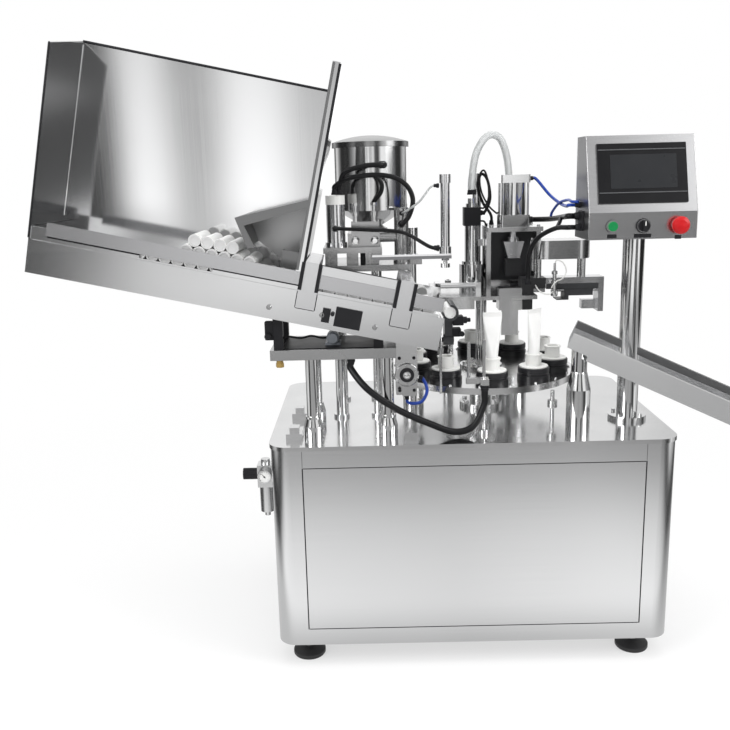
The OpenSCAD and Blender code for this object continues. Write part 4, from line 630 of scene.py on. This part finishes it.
def makeFeed(s):
    t = math.radians(s["tilt"])
    ux, uz = Vector((math.cos(t), 0, -math.sin(t))), Vector((math.sin(t), 0, math.cos(t)))
    sloping = (ux, uz, toFront)
    left, front, back, top = -s["length"], s["front"], s["back"], s["top"]
    gateMiddle, gateHigh = (s["rail"] + s["gateTop"]) / 2, s["gateTop"] - s["rail"]

    def at(x, y, z):  # millimetres along, across and above the sloping channel
        return spot(s["origin"][0], y, s["origin"][2]) + (ux * x + uz * z) / 1000

    def strip(bm, x1, x2, y, z, high, deep, r, edge):  # flat strip along the channel
        slab(bm, at((x1 + x2) / 2, y, z), sloping, (x2 - x1, high, deep), r, edge)

    bm = bmesh.new()
    for x, z in s["bolts"]:
        screw(bm, at(x, front, z), toFront, *s["bolt"])
    newPiece("feed_screws", bm, framePlate)
    bm = bmesh.new()
    corner = at(left, front + 1, top - s["drop"])
    pipe(bm, [corner, at(left + 1.5, back - 1, top - 1)], s["hem"], sides=12)
    pipe(bm, [at(left + 3, back - 3, top - 8), at(left + 3, back - 3, s["rail"])], s["bend"], sides=10)
    newPiece("bin_hem", bm, bright)
    bm = bmesh.new()
    pipe(bm, [corner, at(left, front + 1, s["rail"] - 40)], s["frontEdge"], sides=12)
    backEnds = [at(x, back - 1, top - 1) for x in (left + 1, -s["gate"] - 2)]
    pipe(bm, backEnds, s["backEdge"], sides=12)
    # black strip beside the gate's front edge: painted shade of the gate's right face
    size = (s["edgeWide"], gateHigh - 6, 0.8)
    slab(bm, at(-s["gate"] + s["gateShadeEdge"], front, gateMiddle), sloping, size, r=0.6, edge=0.2)
    for x in s["straps"]:  # black sheet under each strap's foot, a painted shadow outline round it
        slab(bm, at(x, front, s["strapShadowAt"]), sloping, s["strapShadow"], r=4, edge=0.2)
    for x1, x2 in s["railGapShadows"]:  # black strip behind the rail where no tubes show: painted shadow in the gap
        strip(bm, x1, x2, *s["railGapShadowPlace"], r=0.4, edge=0.1)
    newPiece("bin_edging_and_shade_strips", bm, trimBlack)
    bm = bmesh.new()
    foot = s["lipFoot"]
    for x1, x2, lipTop in s["lips"]:  # strip inside the front plate that raises its edge
        strip(bm, x1, x2, s["lipAt"], (foot + lipTop) / 2, lipTop - foot, s["lipDeep"], r=0.4, edge=0.1)
    x1, x2, z1, z2 = s["cover"]
    strip(bm, x1, x2, s["coverAt"], (z1 + z2) / 2, z2 - z1, s["coverDeep"], r=0.6, edge=0.3)
    newPiece("channel_lips", bm, sheetX)
    bm = bmesh.new()
    # dark steel strip beside the gate's front edge
    size = (s["edgeWide"], gateHigh - 4, 0.6)
    slab(bm, at(-s["gate"] + s["darkStripEdge"], front, gateMiddle), sloping, size, r=0.6, edge=0.2)
    newPiece("gate_dark_strip", bm, dullSteel)
    bm = bmesh.new()
    x1, x2 = s["layer"]  # sheet over the far end of the lowest tubes
    slab(bm, at((x1 + x2) / 2, *s["layerAt"]), (ux, toBack, uz), (x2 - x1, *s["layerSize"]), r=1.0, edge=0.3)
    newPiece("layer_sheet", bm, binSteel)
    bm = bmesh.new()
    strip(bm, *s["liner"], *s["linerPlace"], r=0.8, edge=0.3)  # strip behind the lowest tubes
    newPiece("channel_liner", bm, sheetX)
    bm = bmesh.new()
    for layer, (start, count, behind) in enumerate(s["layers"]):
        y, z = s["rearEnds"] + behind - s["bungDeep"], s["low"] + layer * s["rise"]
        for k in range(count):  # white bung in the far end of each tube
            spin(bm, s["bung"], at(s["first"] - (start + k) * s["pitch"], y, z), toBack, sides=18)
    newPiece("tube_bungs", bm, tubeWhite)
    bm = bmesh.new()
    # web plate under the deflector; its low tone is painted shade
    web, rim = (
        [bm.verts.new(at(-s["gate"] + x, y, s["rail"] + z)) for x, z in s["web"]] for y in s["webFaces"])
    bm.faces.new(web)
    bm.faces.new(rim[::-1])
    for i in range(len(web)):
        j = (i + 1) % len(web)
        bm.faces.new((web[i], rim[i], rim[j], web[j]))
    newPiece("deflector_web", bm, webSteelShaded)


cradleSetup = {
    "hinge": (-49.1, -200.5, 860), "forward": 0.052,
    "tube": [(0, 1.2), (9, 1.2), (10, 0), (13, 0), (13.8, 0.8), (13.8, 87), (13, 87.6), (12.6, 87),
             (12.6, 30), (0, 30)],
    "blocks": (((-27, -188, 834), (26, 22, 26)), ((-30, -190, 806), (20, 20, 22))),
    "knob": [(0, 0), (8, 0), (8, 9), (5, 10), (5, 17), (3.5, 18), (0, 18)], "knobAt": (-15, -201, 834),
    "stud": [(0, 0), (4, 0), (4, 12), (6, 12), (6, 18), (0, 18)], "studAt": (-20, -214, 806),
}


def makeCradleTube(s):
    bm = bmesh.new()
    spin(bm, s["tube"], spot(*s["hinge"]) + toFront * s["forward"], toBack, sides=32)
    newPiece("cradle_tube", bm, tubeWhite, "flipper_body")


def makeClamp(s):  # finger clamp on the cradle's arm
    bm = bmesh.new()
    for place, size in s["blocks"]:
        slab(bm, spot(*place), upright, size, r=3, edge=1.5)
    spin(bm, s["knob"], spot(*s["knobAt"]), toRight, sides=24)
    spin(bm, s["stud"], spot(*s["studAt"]), toFront, sides=20)
    newPiece("cradle_clamp", bm, trimBlack, "flipper_body")


switchSetup = {
    "place": (-466.5, -240, 828), "size": (20, 44, 14), "buttonAt": (-469, -254, 816),
    "button": [(0, 0), (7, 0), (8, 1.5), (8, 8), (6, 10), (0, 10)],
}


def makePostSwitch(s):  # switch beside the left post
    bm = bmesh.new()
    slab(bm, spot(*s["place"]), upright, s["size"], r=3, edge=1.2)
    spin(bm, s["button"], spot(*s["buttonAt"]), toFront, sides=24)
    newPiece("post_switch", bm, trimBlack)


driveSetup = {
    "darkSheet": (-326, -176, 783), "darkSheetSize": (226, 150, 1.6), "motorAt": (-322, -226, 801),
    "motor": [(0, 0), (11, 0), (13, 2), (13, 10), (15, 10), (15, 34), (13, 36), (13, 60), (10, 62), (0, 62)],
    "base": (-322, -196, 784), "baseSize": (36, 44, 6), "wire": 5,
    "lead": [(-455, -236, 812), (-444, -240, 806), (-424, -238, 811), (-396, -232, 806), (-372, -224, 809),
             (-348, -214, 802), (-334, -206, 801)],
    "pinAt": (-73, -269, 674), "pin": [(0, 0), (2.6, 0), (3.2, 1), (3.2, 137), (2.6, 138), (0, 138)],
    "ring": [(3.2, 96), (7, 96), (7, 108), (3.2, 108)],
}


def makeFeedDrive(s):  # black sheet on the support plate as painted dark reflection and shade, small vibrator on the plate, guide pin below the channel
    bm = bmesh.new()
    slab(bm, spot(*s["darkSheet"]), lying, s["darkSheetSize"], r=6, edge=0.5)
    newPiece("plate_dark_sheet", bm, trimBlack)
    bm = bmesh.new()
    spin(bm, s["motor"], spot(*s["motorAt"]), toBack, sides=30)
    slab(bm, spot(*s["base"]), lying, s["baseSize"], r=2)
    newPiece("feed_vibrator", bm, castGrey)
    bm = bmesh.new()
    pipe(bm, route(s["lead"]), s["wire"], sides=10)
    newPiece("vibrator_lead", bm, hoseBlack)
    bm = bmesh.new()
    spin(bm, s["pin"], spot(*s["pinAt"]), toTop, sides=18)
    spin(bm, s["ring"], spot(*s["pinAt"]), toTop, sides=20)
    newPiece("guide_pin", bm, framePlate)


makeFeed(feedSetup)
makeCradleTube(cradleSetup)
makeFeedDrive(driveSetup)
makeClamp(cradleSetup)
makePostSwitch(switchSetup)
print("feed dressed")

actuatorSetup = {
    "hub": (0.025, 0.013, 0.053), "circle": 0.0222, "face": -0.008, "screws": 6, "screw": (6, 3),
    "flange": [(17.2, 0), (27, 0), (28, -1), (28, -6), (26, -8), (17.2, -8)],
    "cap": [(0, -13.6), (5, -13.6), (6, -13), (6, -12), (0, -12)], "capLift": 0.0001,
    "ring": [(9.4, -12), (16.6, -12), (17, -11.4), (17, -7), (9.4, -7)],
    "boltsAcross": (-0.017, 0.017), "boltsUp": (0.014, 0.092), "boltSink": 0.002, "bolt": (8, 4),
}


def makeActuator(s):
    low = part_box("loading_actuator")[0]
    hub = Vector((low.x + s["hub"][0], low.y + s["hub"][1], low.z + s["hub"][2]))
    bm = bmesh.new()
    spin(bm, s["flange"], hub, toBack, sides=44)
    for k in range(s["screws"]):
        a = math.pi * (k + 0.5) / 3
        place = Vector((math.cos(a) * s["circle"], s["face"], math.sin(a) * s["circle"]))
        screw(bm, hub + place, toFront, *s["screw"])
    spin(bm, s["cap"], hub - Vector((0, s["capLift"], 0)), toBack, sides=24)
    newPiece("actuator_flange", bm, bright)
    bm = bmesh.new()
    spin(bm, s["ring"], hub, toBack, sides=36)  # dark ring round the hub
    for dx in s["boltsAcross"]:
        for dz in s["boltsUp"]:
            screw(bm, Vector((hub.x + dx, hub.y + s["boltSink"], low.z + dz)), toFront, *s["bolt"])
    newPiece("actuator_bolts", bm, trimBlack)


gaugeSetup = {
    "shift": 0.004, "height": 0.466, "face": [(0, -0.4), (14.2, -0.4), (14.2, 0.2), (0, 0.2)],
    "rim": [(14, 0), (14, 2), (16.6, 2), (17.4, 1), (17.4, -3), (16.8, -3)],
    "needleTurn": -0.7, "needle": (1.0, 14, 0.6), "needleOut": 0.003, "lift": 0.0004,
    "pivot": [(0, 1.4), (1.6, 1.4), (2, 1), (2, 0.3), (0, 0.3)],
    "marks": 11, "from": -130, "apart": 26, "mark": (0.6, 2.6, 0.2), "markOut": 0.0118,
}


def makeGauge(s):
    low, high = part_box("air_regulator")
    face = Vector(((low.x + high.x - s["shift"]) / 2, low.y, s["height"]))
    bm = bmesh.new()
    spin(bm, s["face"], face, toFront, sides=36)
    newPiece("gauge_face", bm, dialWhite)
    bm = bmesh.new()
    spin(bm, s["rim"], face, toFront, sides=36)
    newPiece("gauge_rim", bm, bright)
    bm = bmesh.new()
    raised = Vector((0, -s["lift"], 0))
    ray = Vector((math.sin(s["needleTurn"]), 0, math.cos(s["needleTurn"])))
    ways = (ray.cross(toFront), ray, toFront)
    slab(bm, face + ray * s["needleOut"] + raised, ways, s["needle"], r=0.4, edge=0.1)
    spin(bm, s["pivot"], face, toFront, sides=16)
    for k in range(s["marks"]):  # graduations
        a = math.radians(s["from"] + s["apart"] * k)
        ray = Vector((math.sin(a), 0, math.cos(a)))
        ways = (ray.cross(toFront), ray, toFront)
        slab(bm, face + ray * s["markOut"] + raised, ways, s["mark"], r=0.25, edge=0.05, steps=2)
    newPiece("gauge_needle", bm, trimBlack)


makeActuator(actuatorSetup)
makeGauge(gaugeSetup)
print("dials made")

stationSetup = {
    "backing": (163.1, 226, 940), "backingSize": (124.4, 134, 3), "strip": (302, 61.4, 873),
    "stripSize": (138, 14, 3), "valveAt": (251, 42, 850),
    "valve": [(0, 0), (8, 0), (9, 1.5), (9, 16), (6, 18), (6, 30), (9, 31), (9, 40), (5, 42), (5, 56),
              (7.5, 57), (7.5, 65), (3, 67), (3, 86), (0, 86)],
    "bracket": (251, 58.2, 886), "bracketSize": (16, 10, 17), "wire": 3.2,
    "leads": ([(251, 42, 934), (256, 38, 944), (272, 36, 936), (280, 36, 914), (270, 36, 896), (256, 34, 890),
               (246, 34, 880), (243, 38, 872)],
              [(245, 36, 862), (236, 29, 857), (222, 31, 858), (210, 42, 866), (205, 54, 876),
               (205, 60, 877)]),
    "ports": ((-265, -51.5, 1014), (-217, -51.5, 1014)),
    "port": [(0, 0), (8, 0), (8, 6), (10, 6), (10, 12), (6, 13), (6, 19), (3.5, 19), (3.5, 15), (0, 15)],
    "risers": ((-264, -40, 1060), (-218, -40, 1060)),
    "riser": [(0, -0.5), (7, -0.5), (7, 14), (9, 14), (9, 22), (5, 24), (5, 38), (8, 39), (8, 46), (0, 46)],
    "spacers": ((-330.5, -311), (-288, -259), (-229.5, -207)), "buffer": ((-254, -240.5),),
    "between": (-54, 955, 30), "spacerDeep": 8,
}


def makeStations(s):
    bm = bmesh.new()
    slab(bm, spot(*s["backing"]), upright, s["backingSize"], r=2)  # dark plate behind the press head
    newPiece("press_backing", bm, blackSteel)
    bm = bmesh.new()
    slab(bm, spot(*s["strip"]), upright, s["stripSize"], r=1.5)  # cover strip along the blade guides
    newPiece("trim_strip", bm, blackSteel)
    bm = bmesh.new()
    spin(bm, s["valve"], spot(*s["valveAt"]), toTop, sides=24)
    slab(bm, spot(*s["bracket"]), upright, s["bracketSize"], r=2)
    newPiece("trim_valve", bm, bright)
    bm = bmesh.new()
    for points in s["leads"]:
        pipe(bm, route(points), s["wire"], sides=10)
    newPiece("trim_leads", bm, insertWhite)
    bm = bmesh.new()
    for place in s["ports"]:
        spin(bm, s["port"], spot(*place), toFront, sides=12)
    for place in s["risers"]:
        spin(bm, s["riser"], spot(*place), toTop, sides=16)
    newPiece("valve_ports", bm, bright)
    y, z, high = s["between"]
    uprights = (("deck_spacers", framePlate, s["spacers"]), ("deck_buffer", trimBlack, s["buffer"]))
    for name, finish, rows in uprights:
        bm = bmesh.new()
        for x1, x2 in rows:  # uprights between the two decks
            slab(bm, spot((x1 + x2) / 2, y, z + high / 2), upright, (x2 - x1, high, s["spacerDeep"]), r=1.5)
        newPiece(name, bm, finish)


makeStations(stationSetup)
print("stations dressed")

seamSetup = {
    "wide": 2.8, "narrow": 0.7, "proud": 0.4, "gap": 1.5, "weld": 1.4, "weldShort": 4, "weldProud": 0.3,
}


def makeSeams(s):
    low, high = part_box("front_panel")
    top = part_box("cabinet_shell")[1].z
    middle, half, gap = (low + high) / 2, (high - low) / 2, s["gap"] / 2000
    gapShade, weld = bmesh.new(), bmesh.new()
    wide = s["wide"]
    for side in (-1, 1):  # black strip in the gap round the access panel as painted shadow, weld lines above it
        edge = middle.x + side * (half.x + gap)
        sealSize = (wide, half.z * 2000 + wide, s["proud"])
        slab(gapShade, Vector((edge, low.y, middle.z)), upright, sealSize, r=0.8, edge=0.1)
        across = Vector((middle.x, low.y, middle.z + side * (half.z + gap)))
        slab(gapShade, across, upright, (half.x * 2000 - wide, wide * s["narrow"], s["proud"]), r=0.8, edge=0.1)
        weldSize = (s["weld"], (top - high.z) * 1000 - s["weldShort"], s["weldProud"])
        slab(weld, Vector((edge, low.y, (high.z + top) / 2 + gap)), upright, weldSize, r=0.3, edge=0.1)
    newPiece("panel_gap_shadow", gapShade, trimBlack, "panel_body")
    newPiece("shell_welds", weld, dullSteel)


chuteSetup = {
    "origin": (244, -160, 765), "turn": 15, "tilt": 23.2, "length": 440, "front": -56, "back": 54.5,
    "hem": 37, "hemRound": 3.4, "lining": (31, 49), "liningShort": 4, "liningDeep": 0.8,
}


def makeChute(s):
    turn, tilt = math.radians(s["turn"]), math.radians(s["tilt"])
    ahead = Vector((math.cos(turn), -math.sin(turn), 0))
    uy = Vector((math.sin(turn), math.cos(turn), 0))
    ux = ahead * math.cos(tilt) + toFloor * math.sin(tilt)
    uz = ahead * math.sin(tilt) - toFloor * math.cos(tilt)

    def at(x, y, z):  # millimetres along, across and above the chute's floor
        return spot(*s["origin"]) + (ux * x + uy * y + uz * z) / 1000

    bm = bmesh.new()
    ends = [at(x, s["front"], s["hem"]) for x in (1, s["length"] - 1)]
    pipe(bm, ends, s["hemRound"], sides=12)  # rolled hem along the low wall
    newPiece("chute_hem", bm, bright)
    bm = bmesh.new()
    z1, z2 = s["lining"]  # dark steel strip on the high wall's inner face
    size = (s["length"] - s["liningShort"], z2 - z1, s["liningDeep"])
    slab(bm, at(s["length"] / 2, s["back"], (z1 + z2) / 2), (ux, uz, -uy), size, r=1.0, edge=0.2)
    newPiece("chute_dark_strip", bm, dullSteel)


fastenerSetup = {
    "posts": ((-5, 288), (180, 288)), "postTop": 858, "nut": (18, 9),
    "pressScrews": ((0.07, 0.93), (0.10, 0.90), (1,)), "pressScrew": (9, 5),
    "coverScrews": ((0.06, 0.94), (0.12, 0.88), (1,)), "coverScrew": (7, 3),
    "table": (57, 23, 670), "circle": 0.228, "count": 20, "first": -125, "apart": 18, "tableScrew": (7, 3),
    "drainAt": (-445, -252, 759),
    "drain": [(0, -1), (8.5, -1), (8.5, 7), (10, 7), (10, 16), (9, 17), (5, 17), (5, 13), (0, 13)],
}


def makeFasteners(s):
    bm = bmesh.new()
    for x, y in s["posts"]:  # studs of the station posts
        nut(bm, spot(x, y, s["postTop"]), toTop, *s["nut"])
    screwGrid(bm, "press_frame", s["pressScrews"], toTop, *s["pressScrew"])
    screwGrid(bm, "trim_cover", s["coverScrews"], toTop, *s["coverScrew"])
    newPiece("plate_fasteners", bm, bright)
    bm = bmesh.new()
    middle = spot(*s["table"])
    for k in range(s["count"]):  # screws near the turntable's edge, two to a cup
        a = math.radians(s["first"] + s["apart"] * k + s["apart"] / 2)
        screw(bm, middle + Vector((math.cos(a), math.sin(a), 0)) * s["circle"], toTop, *s["tableScrew"])
    newPiece("turntable_screws", bm, bright, "turntable_body")
    bm = bmesh.new()
    spin(bm, s["drain"], spot(*s["drainAt"]), toFloor, sides=6)
    newPiece("drain_fitting", bm, brass)


makeSeams(seamSetup)
makeChute(chuteSetup)
makeFasteners(fastenerSetup)
print("seams, chute and fasteners set")

floorSetup = {  # the ramps are the bright and dark bands that the steel mirrors, across and outward
    "size": 60.0, "colour": (0.86, 0.86, 0.86), "near": 0.55, "reach": 2.6, "edge": shellLow.y, "away": 4.0,
    "depth": 12.0, "start": 0.1, "strength": 1.3, "flagDark": 0.9,
    "across": ((0.0, 0.03), (0.10, 0.8), (0.225, 0.95), (0.28, 0.06), (0.34, 0.06), (0.36, 0.55), (0.39, 1.0),
               (0.45, 0.95), (0.50, 0.85), (0.56, 1.0), (0.60, 0.75), (0.635, 0.45), (0.66, 0.10),
               (0.70, 0.06), (0.76, 0.95), (0.90, 0.85), (1.0, 0.03)),
    "ahead": ((0.0, 0.55), (0.108, 0.55), (0.125, 0.92), (0.167, 0.78), (0.225, 0.36), (0.283, 0.33),
              (0.42, 0.34), (0.52, 0.62), (0.60, 0.95), (1.0, 1.0)),
    "flag": ((0.535, 0.0), (0.55, 1.0), (0.62, 1.0), (0.645, 0.0)), "flagAhead": ((0.42, 0.0), (0.48, 1.0)),
    "dip": ((0.358, 1.0), (0.370, 0.0), (0.383, 0.0), (0.397, 0.62), (0.411, 0.62), (0.427, 0.0), (0.45, 0.0),
            (0.47, 0.4), (0.49, 0.0)), "dipAhead": ((0.70, 0.0), (0.85, 1.0)),
}


def makeFloor(s):
    f = Finish("studio floor")
    haze = f.noise(0.6, detail=2)
    body = f.add("BsdfDiffuse", Color=f.mix(haze, shade(s["colour"], 0.985), s["colour"]))
    far = s["edge"] - f.axis(1)
    slant = (f.axis(0) - midX) / (far.maths("ABSOLUTE", far, 0.0) + s["away"]) * 0.5 + 0.5
    outward = far / s["depth"] + s["start"]
    bands = f.times(f.ramp(slant, s["across"]), f.ramp(outward, s["ahead"]))
    flag = f.ramp(slant, s["flag"]) * f.ramp(outward, s["flagAhead"])  # dark flag at the right
    dip = f.ramp(slant, s["dip"]) * f.ramp(outward, s["dipAhead"])  # dark flags far off
    power = (1.0 - flag * s["flagDark"]) * (1.0 - dip * s["flagDark"]) * s["strength"]
    sheen = f.add("VectorMath", {"operation": "SCALE"}, i0=bands, Scale=power)
    glossy = f.add("LightPath", out=3)
    seen = f.add("LightPath", out=0)
    glow = f.add("Emission", Color=f.mix(glossy, (1, 1, 1), sheen), Strength=1.0)
    away = f.add("VectorMath", {"operation": "LENGTH"}, out=1, i0=f.add("TexCoord", out=3))
    fade = f.ramp(away / s["reach"], ((0.22, s["near"]), (0.62, 0.93), (1.0, 1.0)))  # white well away
    mixed = f.add("MixShader", Fac=seen * fade + glossy, i1=body, i2=glow)
    mesh = bpy.data.meshes.new("floor")
    h = s["size"] / 2
    mesh.from_pydata([(-h, -h, 0), (h, -h, 0), (h, h, 0), (-h, h, 0)], [], [(0, 1, 2, 3)])
    mesh.materials.append(f.done(mixed))
    o = bpy.data.objects.new("floor", mesh)
    bpy.context.scene.collection.objects.link(o)


worldSetup = {  # panels and flags round the machine, from left to right, and their strength by height
    "front": ((0.0, 0.03), (0.10, 0.8), (0.225, 0.95), (0.27, 0.03), (0.361, 0.02), (0.370, 0.98),
              (0.383, 1.0), (0.397, 0.34), (0.411, 0.34), (0.427, 1.0), (0.447, 0.95), (0.466, 0.50),
              (0.50, 0.50), (0.54, 0.60), (0.57, 0.90), (0.59, 0.60), (0.62, 0.10), (0.71, 0.05),
              (0.775, 0.95), (0.90, 0.85), (1.0, 0.03)),
    "behind": ((0.02, 0.03), (0.14, 0.75), (0.25, 0.05), (0.36, 0.25), (0.42, 0.95), (0.50, 1.0), (0.64, 0.9),
               (0.77, 0.05), (0.88, 0.8), (0.98, 0.03)),
    "above": ((0.0, 0.5), (0.50, 0.7), (0.605, 0.16), (0.63, 0.30), (0.68, 1.0), (1.0, 0.6)),
    "lift": ((0.66, 0.0), (0.71, 1.0)),
    "level": ((0.0, 0.7), (0.44, 1.0), (0.48, 1.0), (0.50, 0.90), (0.55, 0.75), (0.60, 0.62), (0.66, 0.62),
              (0.72, 0.80), (0.95, 0.70)),
    "strength": 1.6, "fill": (0.62, 0.62, 0.62), "backdrop": (1.0, 1.0, 1.0),
}


def makeWorld(s):
    world = bpy.data.worlds.new("studio")
    bpy.context.scene.world = world
    world.use_nodes = True
    f = Finish("studio", world.node_tree)
    way = f.add("TexCoord", out=0)
    height = f.add("SeparateXYZ", out=2, Vector=way) * 0.5 + 0.5
    depth = f.add("SeparateXYZ", out=1, Vector=way)
    across = f.add("SeparateXYZ", out=0, Vector=way) * 0.5 + 0.5
    lifted = f.mix(f.ramp(height, s["lift"]), f.ramp(across, s["front"]), f.ramp(across, s["above"]))
    panels = f.times(f.mix(depth > 0.0, lifted, f.ramp(across, s["behind"])), f.ramp(height, s["level"]))
    room = f.add("VectorMath", {"operation": "SCALE"}, i0=panels, Scale=s["strength"])
    seen = f.add("LightPath", out=0)
    glossy = f.add("LightPath", out=3)
    lit = f.mix(glossy, s["fill"], room)
    light = f.add("Background", Color=f.mix(seen, lit, s["backdrop"]), Strength=1.0)
    o = f.tree.nodes.new("ShaderNodeOutputWorld")
    f.tree.links.new(light.link, o.inputs[0])


lampSetup = [
    {"name": "overhead", "place": (0, -300, 3600), "aim": (0, 0, 700), "size": 2.6, "watts": 75,
     "mirrored": False},
    {"name": "left", "place": (-2600, -2200, 2300), "aim": (-100, 0, 800), "size": 1.8, "watts": 62,
     "mirrored": True},
    {"name": "right", "place": (2600, -1500, 2100), "aim": (100, 0, 800), "size": 1.5, "watts": 45,
     "mirrored": True},
]


def makeLamps(rows):
    for s in rows:
        data = bpy.data.lights.new(s["name"], "AREA")
        data.shape, data.size, data.energy = "SQUARE", s["size"], s["watts"]
        o = bpy.data.objects.new(s["name"], data)
        o.visible_glossy = s["mirrored"]
        o.location = spot(*s["place"])
        o.rotation_mode = "QUATERNION"
        o.rotation_quaternion = (spot(*s["aim"]) - o.location).to_track_quat("-Z", "Y")
        bpy.context.scene.collection.objects.link(o)


makeFloor(floorSetup)
makeWorld(worldSetup)
makeLamps(lampSetup)
bpy.context.scene.view_settings.view_transform = "Standard"
print("studio ready")
